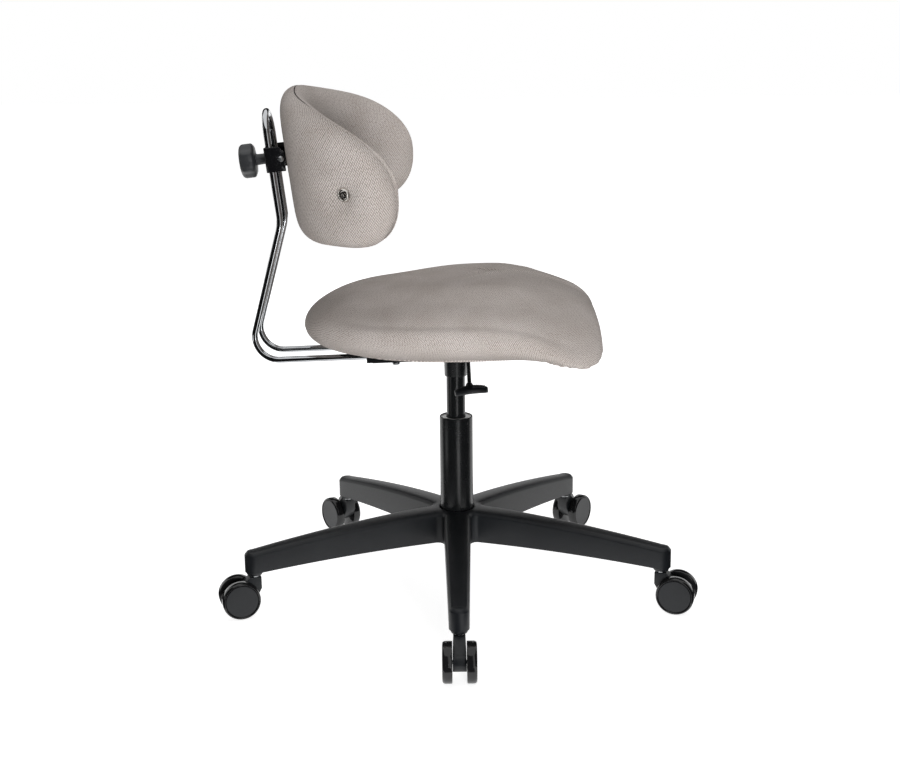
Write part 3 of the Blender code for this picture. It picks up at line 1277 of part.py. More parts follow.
def shell_mesh():
    half = SHELL_THICKNESS / 2.0
    rings = [[bent(0.0, PAD_MIDDLE, half)]]
    for share in SHELL_SHARES:
        rings.append(pad_ring(share, lambda *place: half, SHELL_INSET))
    for share in reversed(SHELL_SHARES):
        rings.append(pad_ring(share, lambda *place: -half, SHELL_INSET))
    rings.append([bent(0.0, PAD_MIDDLE, -half)])
    return loft_mesh("backrest_shell", rings)


def button_seat():
    """Distance of the buttons' seat from the middle surface of the pad."""
    distance = BUTTON_ANGLE * SHELL_RADIUS
    place = Vector((distance, BUTTON_HEIGHT - PAD_MIDDLE))
    rim = [pad_edge(math.pi * step / 360.0) for step in range(720)]
    toward = min((Vector((along, height - PAD_MIDDLE)) for along, height in rim), key=place.angle)
    share = place.length / toward.length
    return outer_offset(distance, BUTTON_HEIGHT, share) - BUTTON_SINK


def build_backrest():
    half = SHELL_THICKNESS / 2.0
    shell = part("backrest_shell", shell_mesh(), BACKREST, "plywood")
    boss_rear = SHELL_STANDOFF - half - SHELL_BOSS_HEIGHT
    boss = cylinder_mesh("shell_boss", SHELL_BOSS_RADIUS, (boss_rear, 0.0, 0.0),
                         (SHELL_STANDOFF, 0.0, 0.0), 20)
    combine(shell, tool("shell_boss", boss, BACKREST), "UNION")
    bolt_hole = cylinder_mesh("bolt_hole", TURN_BOLT_RADIUS + GAP, (boss_rear - 0.005, 0.0, 0.0),
                              (SHELL_STANDOFF + half + 0.005, 0.0, 0.0), 12)
    combine(shell, tool("bolt_hole", bolt_hole, BACKREST), "DIFFERENCE")

    recess = half + GAP
    outer_rings = pad_rings(outer_offset, GAP / 2.0, recess)
    outer = part("backrest_outer_pad", loft_mesh("backrest_outer_pad", outer_rings), BACKREST, "grey_fabric")
    inner_rings = pad_rings(inner_offset, -GAP / 2.0, -recess)
    part("backrest_inner_pad", loft_mesh("backrest_inner_pad", inner_rings), BACKREST, "grey_fabric")
    opening = cylinder_mesh("pad_opening", PAD_OPENING_RADIUS, (-PAD_OUTER_THICKNESS, 0.0, 0.0),
                            (SHELL_STANDOFF, 0.0, 0.0), 24)
    combine(outer, tool("pad_opening", opening, BACKREST), "DIFFERENCE")

    shank_end = SHELL_STANDOFF + half
    head_front = DISC_REAR - GAP
    head_rear = head_front - TURN_BOLT_HEAD_HEIGHT
    bolt = [
        (0.0, shank_end), (TURN_BOLT_RADIUS, shank_end), (TURN_BOLT_RADIUS, head_front),
        (TURN_BOLT_HEAD_RADIUS, head_front), (TURN_BOLT_HEAD_RADIUS, head_rear + 0.001),
        (TURN_BOLT_HEAD_RADIUS - 0.001, head_rear), (0.0, head_rear),
    ]
    turned("turn_bolt", bolt, 12, BACKREST, "zinc_steel", basis=Matrix.Rotation(math.pi / 2.0, 4, "Y"))
    build_buttons(outer)


def build_buttons(outer):
    seat = SHELL_RADIUS + button_seat()
    foot = SHELL_RADIUS + SHELL_THICKNESS / 2.0 + 2.0 * GAP
    top = seat + BUTTON_HEAD_HEIGHT
    socket = 0.45 * BUTTON_RADIUS
    button = [
        (0.0, top - 0.55 * BUTTON_HEAD_HEIGHT), (socket, top - 0.55 * BUTTON_HEAD_HEIGHT),
        (socket, top - 0.15 * BUTTON_HEAD_HEIGHT), (0.70 * BUTTON_RADIUS, top),
        (BUTTON_RADIUS, top - 0.35 * BUTTON_HEAD_HEIGHT), (BUTTON_RADIUS, seat), (BUTTON_SHANK_RADIUS, seat),
        (BUTTON_SHANK_RADIUS, foot), (0.0, foot),
    ]
    for side, sign in (("left", 1.0), ("right", -1.0)):
        outward = Matrix.Translation((PAD_AXIS_X, 0.0, BUTTON_HEIGHT))
        outward = outward @ Matrix.Rotation(-sign * BUTTON_ANGLE, 4, "Z")
        outward = outward @ Matrix.Rotation(-math.pi / 2.0, 4, "Y")
        turned(f"pad_button_{side}", button, 16, BACKREST, "zinc_steel", basis=outward)
        hole = [
            (0.0, top + DIMPLE_DEPTH), (BUTTON_RADIUS + GAP, top + DIMPLE_DEPTH),
            (BUTTON_RADIUS + GAP, seat - GAP), (BUTTON_SHANK_RADIUS + GAP, seat - GAP),
            (BUTTON_SHANK_RADIUS + GAP, SHELL_RADIUS), (0.0, SHELL_RADIUS),
        ]
        combine(outer, turned_tool(f"button_hole_{side}", hole, 16, BACKREST, basis=outward), "DIFFERENCE")


build_casters()
build_base()
build_gas_lift()
build_seat_plate()
build_bar_clamp()
build_seat()
build_back_bar()
build_lever()
build_slider()
build_bracket()
build_backrest()
bpy.context.view_layer.update()
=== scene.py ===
"""Looks of the swivel task chair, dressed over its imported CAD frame.

Metres, +Z up. The seat faces +X and the camera looks along +Y, as in the photograph.
"""
from math import atan2, copysign, cos, degrees, exp, hypot, pi, radians, sin, sqrt, tan

import bmesh
import bpy
import numpy as np
from mathutils import Matrix, Vector


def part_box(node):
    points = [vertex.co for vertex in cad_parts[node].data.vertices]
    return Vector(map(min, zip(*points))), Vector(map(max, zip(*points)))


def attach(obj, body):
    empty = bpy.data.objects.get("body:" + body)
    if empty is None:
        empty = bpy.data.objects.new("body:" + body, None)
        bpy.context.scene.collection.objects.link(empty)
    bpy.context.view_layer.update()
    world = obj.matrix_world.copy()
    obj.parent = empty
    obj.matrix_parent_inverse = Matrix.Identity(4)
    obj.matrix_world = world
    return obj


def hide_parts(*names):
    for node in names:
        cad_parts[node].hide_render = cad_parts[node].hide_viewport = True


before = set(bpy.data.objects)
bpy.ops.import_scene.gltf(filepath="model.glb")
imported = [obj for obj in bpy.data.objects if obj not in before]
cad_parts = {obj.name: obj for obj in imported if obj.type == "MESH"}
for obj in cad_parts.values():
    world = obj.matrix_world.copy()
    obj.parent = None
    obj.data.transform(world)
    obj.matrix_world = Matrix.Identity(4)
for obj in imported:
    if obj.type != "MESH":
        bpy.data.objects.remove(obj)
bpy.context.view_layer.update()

VERT, EDGE, FACE = bmesh.types.BMVert, bmesh.types.BMEdge, bmesh.types.BMFace
GAP = 0.0003
MERGE = 0.00001
SHARP = 38.0

# Camera of the photograph
CAMERA_PLACE = (-0.0086, -2.0949, 0.8543)
CAMERA_PITCH = radians(75.964)
CAMERA_ROLL = radians(-0.652)
CAMERA_LENS = 58.34
CAMERA_SENSOR = 36.0

# Casters
WHEEL_RADIUS = 0.0283
WHEEL_DISC_RADIUS = 0.0238
WHEEL_WIDTH = 0.0135
WHEEL_HUB_DEPTH = 0.0078
AXLE_RADIUS = 0.003
AXLE_Z = WHEEL_RADIUS
CASTER_TRAIL = 0.024
FORK_WIDTH = 0.0187
FORK_NECK_WIDTH = 0.0162
FORK_NECK_LENGTH = 0.017
FORK_BARREL_RADIUS = 0.0128
FORK_BARREL_STEPS = 24
FORK_TOP = 0.0585

# Five-star base
LEG_COUNT = 5
LEG_STEP = 2 * pi / LEG_COUNT
CASTER_CIRCLE = 0.316
LEG_TIP_WIDTH = 0.028
LEG_ROOT_WIDTH = 0.040
LEG_TIP_BOTTOM = 0.0659
LEG_TIP_TOP = 0.0969
LEG_ROOT_BOTTOM = 0.0825
LEG_ROOT_TOP = 0.1301
LEG_TOP_BOW = 1.6
LEG_BOTTOM_BOW = 2.0
LEG_RUNS = 14
LEG_EDGE = 0.0045
LEG_CROWN = 0.0012
LEG_CROWN_INSET = 0.0055
LEG_WALL = 0.0035
LEG_RIB = 0.004
LEG_CELLS = 3
BOSS_RADIUS = 0.0125
BOSS_BOTTOM = 0.0613
STEM_RADIUS = 0.005
STEM_DEPTH = 0.032
HUB_RADIUS = 0.036
HUB_FILLET = 0.010
HUB_BOTTOM = 0.0805
HUB_REACH = (LEG_ROOT_WIDTH / 2 + HUB_FILLET) / sin(pi / LEG_COUNT)

# Gas lift and seat plate
TUBE_RADIUS = 0.025
TUBE_WALL = 0.002
TUBE_TOP = 0.2739
TUBE_FLOOR = 0.004
TUBE_FLOOR_BORE = 0.0043
TUBE_DIMPLE_ANGLE = radians(-48)
TUBE_DIMPLE_RADIUS = 0.0024
BUSH_TOP = 0.2727
BUSH_LENGTH = 0.046
PISTON_RADIUS = 0.014
PISTON_TOP = 0.3708
PISTON_BOTTOM = 0.1688
CHAMBER_RADIUS = 0.0108
CHAMBER_BOTTOM = PISTON_BOTTOM + 0.012
CHAMBER_TOP = PISTON_BOTTOM + 0.158
ROD_BORE = 0.0053
VALVE_BORE = 0.0033
SOCKET_BOTTOM = 0.3368
PLATE_BOTTOM = 0.3898
PLATE_TOP = 0.3928
SEAT_TILT = radians(1.7)
SCREW_RADIUS = 0.003
SCREW_LENGTH = 0.0103
SCREW_HEAD_RADIUS = 0.0056
SCREW_HEAD_HEIGHT = 0.0034

# Back bar
BAR_RADIUS = 0.0047
BAR_SPACING = 0.070
BAR_Z = 0.3787
BAR_FRONT_X = -0.050
BAR_INCLINE = radians(17)
BAR_LEAN = radians(4.87)
BAR_KNEE_X = -0.244
BAR_KNEE_Z = 0.5784
BAR_UPPER_LENGTH = 0.1236
BAR_LOW_BEND = 0.035
BAR_KNEE_BEND = 0.060

# Height lever
LEVER_X = 0.018
LEVER_PIVOT_Y = -0.030
LEVER_PIVOT_Z = 0.3791
LEVER_RADIUS = 0.003
LEVER_REACH = 0.105
LEVER_ELBOW = 0.010
LEVER_FALL = 0.029
LEVER_SIDE = 0.001
LEVER_BARREL_RADIUS = 0.0048
LEVER_BARREL_WIDTH = 0.008
LEVER_BORE = 0.0023
PADDLE_WIDTH = 0.047
PADDLE_DEPTH = 0.028
PADDLE_THICKNESS = 0.0112
PADDLE_DROP = 0.0012
PADDLE_GRIP = 0.010
PADDLE_MIDDLE_Y = -LEVER_REACH - PADDLE_DEPTH / 2 + PADDLE_GRIP
PADDLE_SIDE = 0.002
PADDLE_SAG = 0.003
PADDLE_LEAN = radians(-6)
PADDLE_RIBS = 7
PADDLE_RIB_PITCH = 0.0026
# Stations across the paddle: (share of its half width, share of its full section)
PADDLE_STATIONS = ((-1.0, 0.30), (-0.97, 0.50), (-0.90, 0.70), (-0.72, 0.86), (-0.5, 0.95), (-0.2, 1.0),
                   (0.1, 1.0), (0.4, 0.95), (0.66, 0.85), (0.86, 0.68), (0.96, 0.48), (1.0, 0.28))

# Backrest slider and bracket
SLIDER_ALONG_BAR = 0.0923
CHEEK_OUTER = 0.0447
WEB_REAR = -0.0075
KNOB_RADIUS = 0.025
KNOB_LOBE = 0.0011
KNOB_LOBES = 7
KNOB_NECK_RADIUS = 0.008
KNOB_NECK_LENGTH = 0.0168
KNOB_THICKNESS = 0.023
PIVOT_X = 0.0158
PIVOT_RADIUS = 0.0035
PIVOT_HEAD_RADIUS = 0.0043
PIVOT_HEAD_HEIGHT = 0.0026
TILT_AT_REST = radians(0.93)
DISC_TWIST = radians(-3.5)
TURN_AT_REST = radians(7)

# Backrest
SHELL_RADIUS = 0.1575
SHELL_STANDOFF = 0.0344
PAD_AXIS_X = SHELL_STANDOFF + SHELL_RADIUS
PAD_CELLS = (112, 56)
PAD_HALF_ARC = 0.228
PAD_TOP = 0.097
PAD_LOW = -0.117
PAD_TIP = -0.040
PAD_MIDDLE = -0.010
PAD_SHOULDER = 0.895
PAD_SHOULDER_SPREAD = 0.30
PAD_LOW_NOTCH = 0.04
PAD_LOW_NOTCH_SPREAD = 0.25
PAD_WAIST = 0.055
PAD_WAIST_PLACE = 0.58
PAD_WAIST_SPREAD = 0.18
PAD_WEDGE = 0.10
PAD_FULLNESS = 8.0
PAD_INNER_FULLNESS = 4.5
PAD_LOW_SQUARENESS = 8.0
PAD_OUTER_THICKNESS = 0.029
PAD_INNER_THICKNESS = 0.022
PAD_RECESS = 0.0033
PAD_OPENING_RADIUS = 0.034
PAD_SEAM_DEPTH = 0.011
PAD_SEAM_WIDTH = 0.0022
PAD_SEAM_SHIFT = 0.010
PAD_TIP_STEP = 0.018
BUTTON_ANGLE = radians(58.5)
BUTTON_HEIGHT = -0.033
WASHER_RADIUS = 0.0112
WASHER_SKIRT = 0.003
BUTTON_HEAD_HEIGHT = 0.0048
BUTTON_SHANK_RADIUS = 0.0025
BUTTON_PROUD = 0.0012
DIMPLE_DEPTH = 0.0115
DIMPLE_SPREAD = 0.020
DIMPLE_FOLDS = 7
DIMPLE_FOLD_DEPTH = 0.0007

# Seat cover
SEAT_VOXEL = 0.0045
SEAT_SECTORS = 180
SEAT_MIDDLE = np.array((0.03, 0.0))
SEAT_TOP = 0.483
SEAT_RIM = 0.4271
SEAT_WIDTH = 0.410
SEAT_CORNER_DROOP = 0.062
FLANK_RAISE = 0.005
FLANK_FALL = 0.0065
CREST_HEIGHT = 0.003
CREST_NEAR = 0.007
CREST_FORK = 0.050
NOSE_DROP = 0.006
PLEAT_LENGTH = 0.011
PLEAT_DEPTH = 0.0013

# Cloth: how hard a cover is blown up, and how far it may swell
KNIT_PITCH = 0.0026
SEAT_KNIT = 1.12
CLOTH_FRAMES = 20
CLOTH_SETTINGS = {"quality": 5, "mass": 0.3, "tension_stiffness": 12.0, "compression_stiffness": 12.0,
                  "bending_stiffness": 0.8, "use_pressure": True, "vertex_group_mass": "held"}
PLUMP_ROUNDS = 40
SEAT_PRESSURE, SEAT_SWELL = 3.0, 0.003
PAD_PRESSURE, PAD_SWELL = 2.5, 0.0025

# Studio: lamps are (name, place, aim, width, watts)
FLOOR_GLOW = 0.77
WORLD_LIGHT = 0.245
LAMPS = (
    ("key_softbox", (0.40, -2.7, 0.34), (0.0, 0.0, 0.42), 0.8, 63.0),
    ("top_softbox", (-0.2, 0.1, 2.4), (0.0, 0.0, 0.3), 1.2, 12.0),
    ("rear_softbox", (-0.6, 2.6, 1.3), (0.0, 0.0, 0.4), 1.6, 20.0),
)
# Black flats stand in a ring, with windows between them: an outline of (reach, height) from one angle to another
FLAT_NEAR, FLAT_FAR, FLAT_FOOT, FLAT_TOP = 0.38, 1.4, 0.002, 1.7
FRONT_FLAT = ((FLAT_NEAR, FLAT_FOOT), (FLAT_FAR, FLAT_FOOT), (FLAT_FAR, FLAT_TOP))
REAR_FLAT = ((FLAT_FAR, 0.40), (FLAT_FAR, FLAT_TOP))
HIGH_FLAT = ((FLAT_FAR, 0.85), (FLAT_FAR, FLAT_TOP))
SILL = FRONT_FLAT[:2]
LINTEL = ((FLAT_FAR, 0.24), (FLAT_FAR, FLAT_TOP))
FLATS = ((-66, 16, FRONT_FLAT), (34, 82, REAR_FLAT), (82, 99, HIGH_FLAT), (99, 146, REAR_FLAT),
         (164, 188, FRONT_FLAT), (188, 209, SILL), (188, 209, LINTEL), (209, 276, FRONT_FLAT))


def shift(x, y, z):
    return Matrix.Translation((x, y, z))


def turn(angle, axis):
    return Matrix.Rotation(angle, 4, axis)


def aimed(direction):
    """The turn that lays Z along a direction."""
    return Vector((0, 0, 1)).rotation_difference(direction).to_matrix().to_4x4()


def column_place():
    low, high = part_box("column_tube")
    return shift((low.x + high.x) / 2, (low.y + high.y) / 2, 0)


# Places of the moving groups, each on its joint's axis
COLUMN = column_place()
LEVER = COLUMN @ shift(LEVER_X, LEVER_PIVOT_Y, LEVER_PIVOT_Z)
SEAT = COLUMN @ shift(PLATE_TOP * sin(SEAT_TILT), 0, PLATE_TOP * (1 - cos(SEAT_TILT)))
SEAT = SEAT @ turn(-SEAT_TILT, "Y")
SLIDER = SEAT @ shift(BAR_KNEE_X - SLIDER_ALONG_BAR * sin(BAR_LEAN), 0,
                      BAR_KNEE_Z + SLIDER_ALONG_BAR * cos(BAR_LEAN)) @ turn(-BAR_LEAN, "Y")
PIVOT = SLIDER @ shift(PIVOT_X, 0, 0)
BACKREST = PIVOT @ turn(-TILT_AT_REST, "Y") @ turn(DISC_TWIST, "Z") @ turn(TURN_AT_REST, "X")


# Materials

def colour(code):
    """Linear colour of an sRGB hex value."""
    channels = [int(code[at:at + 2], 16) / 255 for at in (1, 3, 5)]
    return tuple(c / 12.92 if c <= 0.04045 else ((c + 0.055) / 1.055) ** 2.4 for c in channels) + (1.0,)


def set_inputs(tree, node, inputs):
    """Gives each input its value, or links it to another node's output."""
    for name, value in inputs.items():
        if isinstance(value, bpy.types.NodeSocket):
            tree.links.new(value, node.inputs[name])
        else:
            node.inputs[name].default_value = value


def add_node(tree, kind, inputs=None, **settings):
    """Adds a shader node with its settings and inputs; gives its outputs."""
    node = tree.nodes.new("ShaderNode" + kind)
    for name, value in settings.items():
        setattr(node, name, value)
    set_inputs(tree, node, inputs or {})
    return node.outputs


def new_finish(name, sockets):
    material = bpy.data.materials.new(name)
    material.use_nodes = True
    tree = material.node_tree
    shader = tree.nodes["Principled BSDF"]
    set_inputs(tree, shader, sockets)
    return material, tree, shader


def shaded(tree, value, *stops):
    """The colour that a value picks between two stops of (position, hex colour)."""
    picked = add_node(tree, "ValToRGB", {"Fac": value})["Color"]
    for element, (position, code) in zip(picked.node.color_ramp.elements, stops):
        element.position = position
        element.color = colour(code)
    return picked


def noise(tree, place, scale, detail, rough=0.5):
    return add_node(tree, "TexNoise", {
        "Vector": place, "Scale": scale, "Detail": detail, "Roughness": rough})["Fac"]


def bumped(tree, height, distance):
    return add_node(tree, "Bump", {"Height": height, "Strength": 0.5, "Distance": distance})["Normal"]


def grained(name, grain, bump, rough, shades, metallic=0.0, specular=0.5):
    """A hard finish with a fine grain: its size in metres, its relief, and its spread of gloss and shade."""
    material, tree, shader = new_finish(name, {"Metallic": metallic, "Specular IOR Level": specular})
    place = add_node(tree, "TexCoord")["Object"]
    grains = noise(tree, place, 1 / grain, 3.0, 0.6)
    gloss = add_node(tree, "MapRange", {
        "Value": grains, "From Min": 0.3, "From Max": 0.7, "To Min": rough[0], "To Max": rough[1]})
    set_inputs(tree, shader, {
        "Base Color": shaded(tree, noise(tree, place, 22.0, 2.0), (0.3, shades[0]), (0.7, shades[1])),
        "Roughness": gloss["Result"], "Normal": bumped(tree, grains, bump)})
    return material


def spacer_knit():
    """Polyester spacer knit: fine pale rows of loops on the slant over darker holes, matt, with a soft bloom.

    The loops are drawn at 2.6 mm, a little coarser than the real ones, so that they show in the render.
    """
    material, tree, shader = new_finish("taupe_spacer_knit", {
        "Roughness": 0.92, "Specular IOR Level": 0.15, "Sheen Weight": 0.10, "Sheen Roughness": 0.6,
        "Sheen Tint": colour("#D8CFC8")})
    cloth = add_node(tree, "UVMap", uv_map="knit")["UV"]
    pull = add_node(tree, "TexNoise", {"Vector": cloth, "Scale": 70.0, "Detail": 2.0}, noise_dimensions="2D")["Color"]
    pulled = add_node(tree, "VectorMath", {0: pull, 1: (0.0012, 0.0012, 0.0), 2: cloth}, operation="MULTIPLY_ADD")
    rows = add_node(tree, "Mapping", {
        "Vector": pulled["Vector"], "Rotation": (0.0, 0.0, radians(45)),
        "Scale": (1 / KNIT_PITCH, 0.72 / KNIT_PITCH, 1.0)})["Vector"]
    loops = add_node(tree, "TexVoronoi", {"Vector": rows, "Scale": 1.0, "Randomness": 0.20},
                     voronoi_dimensions="2D")["Distance"]
    place = add_node(tree, "TexCoord")["Object"]
    toned = add_node(tree, "Mix", {
        "Factor": 1.0, 6: shaded(tree, loops, (0.18, "#D3CBC6"), (0.62, "#837C78")),
        7: shaded(tree, noise(tree, place, 26.0, 4.0), (0.3, "#F0EEEC"), (0.7, "#FFFFFF"))},
        data_type="RGBA", blend_type="MULTIPLY")
    raised = add_node(tree, "Math", {0: loops, 1: -1.0, 2: noise(tree, place, 900.0, 2.0)}, operation="MULTIPLY_ADD")
    set_inputs(tree, shader, {"Base Color": toned[2], "Normal": bumped(tree, raised["Value"], 0.0006)})
    return material


def birch_plywood():
    """Birch plywood: thin pale and brown layers at the edge, long grain on the faces, unlacquered."""
    material, tree, shader = new_finish("birch_plywood", {"Roughness": 0.7})
    place = add_node(tree, "TexCoord")["Object"]
    level = add_node(tree, "Mapping", {"Vector": place, "Rotation": (0.0, SEAT_TILT, 0.0)})["Vector"]
    layers = add_node(tree, "TexWave", {"Vector": level, "Scale": 80.0, "Distortion": 0.6, "Detail": 2.0},
                      bands_direction="Z")["Fac"]
    stretched = add_node(tree, "Mapping", {"Vector": place, "Scale": (14.0, 190.0, 190.0)})["Vector"]
    both = add_node(tree, "Math", {0: layers, 1: noise(tree, stretched, 1.0, 4.0)}, operation="MULTIPLY")
    set_inputs(tree, shader, {"Base Color": shaded(tree, both["Value"], (0.1, "#9A7148"), (0.5, "#D2B184"))})
    return material


KNIT = spacer_knit()
PLYWOOD = birch_plywood()

# Glass-filled nylon, moulded with a fine spark-eroded grain: charcoal black, satin, a pale line of light on edges
NYLON = grained("moulded_black_nylon", 0.0011, 0.00012, (0.36, 0.50), ("#0F1114", "#15171A"))
# Nylon from a polished mould: near-black, with sharp glints on its shoulders
GLOSS = grained("polished_black_nylon", 0.004, 0.00002, (0.08, 0.16), ("#121213", "#171718"))
# Phenolic, pressed in a polished mould: dark grey with a broad soft shine
PHENOLIC = grained("phenolic_knob", 0.003, 0.00002, (0.30, 0.38), ("#292A2C", "#313234"))
# Powder coat on drawn tube: satin black with a faint orange peel
POWDER = grained("powder_coated_tube", 0.012, 0.000004, (0.24, 0.28), ("#101112", "#141516"))
# Stove enamel on folded sheet: glossy black, bright on its edges
ENAMEL = grained("enamelled_black_sheet", 0.003, 0.00003, (0.12, 0.20), ("#0E0E10", "#131315"))
# Bright nickel and chromium on polished rod: a mirror, slightly blue
CHROME = grained("chromium_plated_rod", 0.05, 0.0, (0.06, 0.08), ("#BFC1C4", "#C5C7C9"), metallic=1.0)
# Zinc plating on cold-headed steel: pale grey, softly blurred reflections
ZINC = grained("zinc_plated_steel", 0.004, 0.00002, (0.34, 0.42), ("#B4B6B9", "#C6C8CA"), metallic=1.0)
# Nickel plating on a turned washer and screw: warm and bright
NICKEL = grained("nickel_plated_button", 0.002, 0.00001, (0.18, 0.26), ("#CBC7C1", "#DAD6D0"), metallic=1.0)
# Acetal: off-white, waxy and slightly shiny
ACETAL = grained("acetal_bush", 0.002, 0.00003, (0.10, 0.16), ("#E6E6E3", "#F0F0EE"))
# Spunbond polypropylene lining: dull black felt of short fibres
LINING = grained("spunbond_lining", 0.0008, 0.0002, (0.80, 0.95), ("#161616", "#1E1E1E"), specular=0.2)


# Making of the pieces

def holder(name, data):
    obj = bpy.data.objects.new(name, data)
    bpy.context.scene.collection.objects.link(obj)
    return obj


def to_mesh(name, bm):
    bmesh.ops.recalc_face_normals(bm, faces=bm.faces)
    if bm.calc_volume(signed=True) < 0:
        bmesh.ops.reverse_faces(bm, faces=bm.faces)
    mesh = bpy.data.meshes.new(name)
    bm.to_mesh(mesh)
    bm.free()
    return mesh


def dressed(name, form, body, slot, node, *finishes, place=None):
    """A finished piece: it rides on a body, takes the finishes it is given and stands for its CAD node; its slot is not
    used.
    """
    mesh = to_mesh(name, form) if isinstance(form, bmesh.types.BMesh) else form
    if place is not None:
        mesh.transform(place)
    mesh.shade_smooth()
    mesh.set_sharp_from_angle(angle=radians(SHARP))
    obj = holder(name, mesh)
    for material in finishes:
        mesh.materials.append(material)
    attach(obj, body)
    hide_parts(node)
    return obj


def refinish(material, *nodes):
    """CAD nodes whose shape is right keep it and get a better finish."""
    for node in nodes:
        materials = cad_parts[node].data.materials
        materials.clear()
        materials.append(material)


def of_kind(items, kind):
    return [item for item in items if isinstance(item, kind)]


def sharp_edges(bm, angle=SHARP):
    return [edge for edge in bm.edges if edge.is_manifold and edge.calc_face_angle() > radians(angle)]


def round_edges(bm, edges, width, segments):
    bmesh.ops.bevel(bm, geom=edges, offset=width, offset_type="OFFSET", segments=segments, profile=0.5,
                    affect="EDGES", clamp_overlap=True, material=-1)


def place_all(bm, place, verts=None):
    bmesh.ops.transform(bm, matrix=place, verts=verts or bm.verts)


def drawn(bm, points):
    """A line through (radius, height) points in the XZ plane: its points and its edges."""
    verts = [bm.verts.new((radius, 0, height)) for radius, height in points]
    return verts, [bm.edges.new(pair) for pair in zip(verts, verts[1:])]


def turned(profile, sides, closed=False):
    """A profile of (radius, height) points turned round Z."""
    bm = bmesh.new()
    verts, edges = drawn(bm, profile)
    if closed:
        edges.append(bm.edges.new((verts[-1], verts[0])))
    bmesh.ops.spin(bm, geom=verts + edges, axis=(0, 0, 1), angle=2 * pi, steps=sides, use_merge=True)
    bmesh.ops.remove_doubles(bm, verts=bm.verts, dist=0.000002)
    bmesh.ops.recalc_face_normals(bm, faces=bm.faces)
    return bm


def rod(sides, radius, length, place):
    bm = bmesh.new()
    bmesh.ops.create_cone(bm, cap_ends=True, segments=sides, radius1=radius, radius2=radius, depth=length,
                          matrix=place)
    return bm


def circle(bm, sides, radius, place):
    """A ring of points and its edges."""
    verts = bmesh.ops.create_circle(bm, segments=sides, radius=radius, matrix=place)["verts"]
    return verts, list(dict.fromkeys(edge for vert in verts for edge in vert.link_edges))


def pushed_on(bm, loop):
    """A loop of edges extruded in place: the new points and the new loop."""
    made = bmesh.ops.extrude_edge_only(bm, edges=loop)["geom"]
    verts = of_kind(made, VERT)
    return verts, [edge for edge in of_kind(made, EDGE) if all(vert in verts for vert in edge.verts)]


def close_ends(bm, *loops):
    for loop in loops:
        bmesh.ops.edgeloop_fill(bm, edges=loop)
    bmesh.ops.recalc_face_normals(bm, faces=bm.faces)


def lofted(sides, stations, point):
    """A closed form through rings: point gives the place for an angle and a station."""
    bm = bmesh.new()
    verts, loop = circle(bm, sides, 1.0, Matrix.Identity(4))
    first = list(loop)
    angles = {vert: atan2(vert.co.y, vert.co.x) for vert in verts}
    for number, station in enumerate(stations):
        if number:
            spots = {tuple(vert.co): angle for vert, angle in angles.items()}
            verts, loop = pushed_on(bm, loop)
            angles = {vert: spots[tuple(vert.co)] for vert in verts}
        for vert, angle in angles.items():
            vert.co = point(angle, *station)
    close_ends(bm, first, loop)
    return bm


def swept_rod(corners, bends, radius, sides):
    """A round rod through corner points: straight runs are extruded and bends are spun."""
    bm = bmesh.new()
    at = corners[0]
    loop = circle(bm, sides, radius, shift(*at) @ aimed((corners[1] - at).normalized()))[1]
    first = list(loop)
    for index, corner in enumerate(corners[1:]):
        into = (corner - corners[index]).normalized()
        last = corner is corners[-1]
        setback = 0.0
        if not last:
            out = (corners[index + 2] - corner).normalized()
            bend = into.angle(out)
            setback = bends[index] * tan(bend / 2)
        travel = corner - into * setback - at
        if travel.length > MERGE:
            verts, loop = pushed_on(bm, loop)
            place_all(bm, shift(*travel), verts)
        if last:
            break
        centre = corner + (out - into).normalized() * (bends[index] / cos(bend / 2))
        rim = list(dict.fromkeys(vert for edge in loop for vert in edge.verts))
        spun = bmesh.ops.spin(bm, geom=rim + loop, cent=centre, axis=into.cross(out).normalized(), angle=bend,
                              steps=max(6, round(degrees(bend) / 5)))
        loop = of_kind(spun["geom_last"], EDGE)
        at = corner + out * setback
    close_ends(bm, first, loop)
    return bm


def cad_form(node):
    """A copy of a CAD node's mesh with its points merged."""
    bm = bmesh.new()
    bm.from_mesh(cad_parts[node].data)
    bmesh.ops.remove_doubles(bm, verts=bm.verts, dist=MERGE)
    return bm


def softened(node, width):
    """A CAD node's form with its flat faces made whole and its edges rounded."""
    bm = cad_form(node)
    bmesh.ops.dissolve_limit(bm, angle_limit=radians(1), verts=bm.verts, edges=bm.edges)
    round_edges(bm, sharp_edges(bm), width, 2)
    return bm


def applied(obj, name):
    """The mesh that an object's modifiers make; the object goes."""
    bpy.context.view_layer.update()
    depsgraph = bpy.context.evaluated_depsgraph_get()
    mesh = bpy.data.meshes.new_from_object(obj.evaluated_get(depsgraph))
    mesh.name = name
    bpy.data.objects.remove(obj, do_unlink=True)
    return mesh


def cut_and_joined(name, form, *steps):
    """A form with other forms cut out of it or joined to it, in turn."""
    obj = holder(name, to_mesh(name, form))
    tools = []
    for number, (other, operation) in enumerate(steps):
        tool = holder(f"{name}_form_{number}", to_mesh(f"{name}_form_{number}", other))
        tools.append(tool)
        modifier = obj.modifiers.new(operation.lower(), "BOOLEAN")
        modifier.operation = operation
        modifier.solver = "EXACT"
        modifier.object = tool
    made = applied(obj, name)
    for tool in tools:
        bpy.data.objects.remove(tool, do_unlink=True)
    return made


# Casters

def leg_turn(index):
    return turn(-pi / 2 + index * LEG_STEP, "Z")


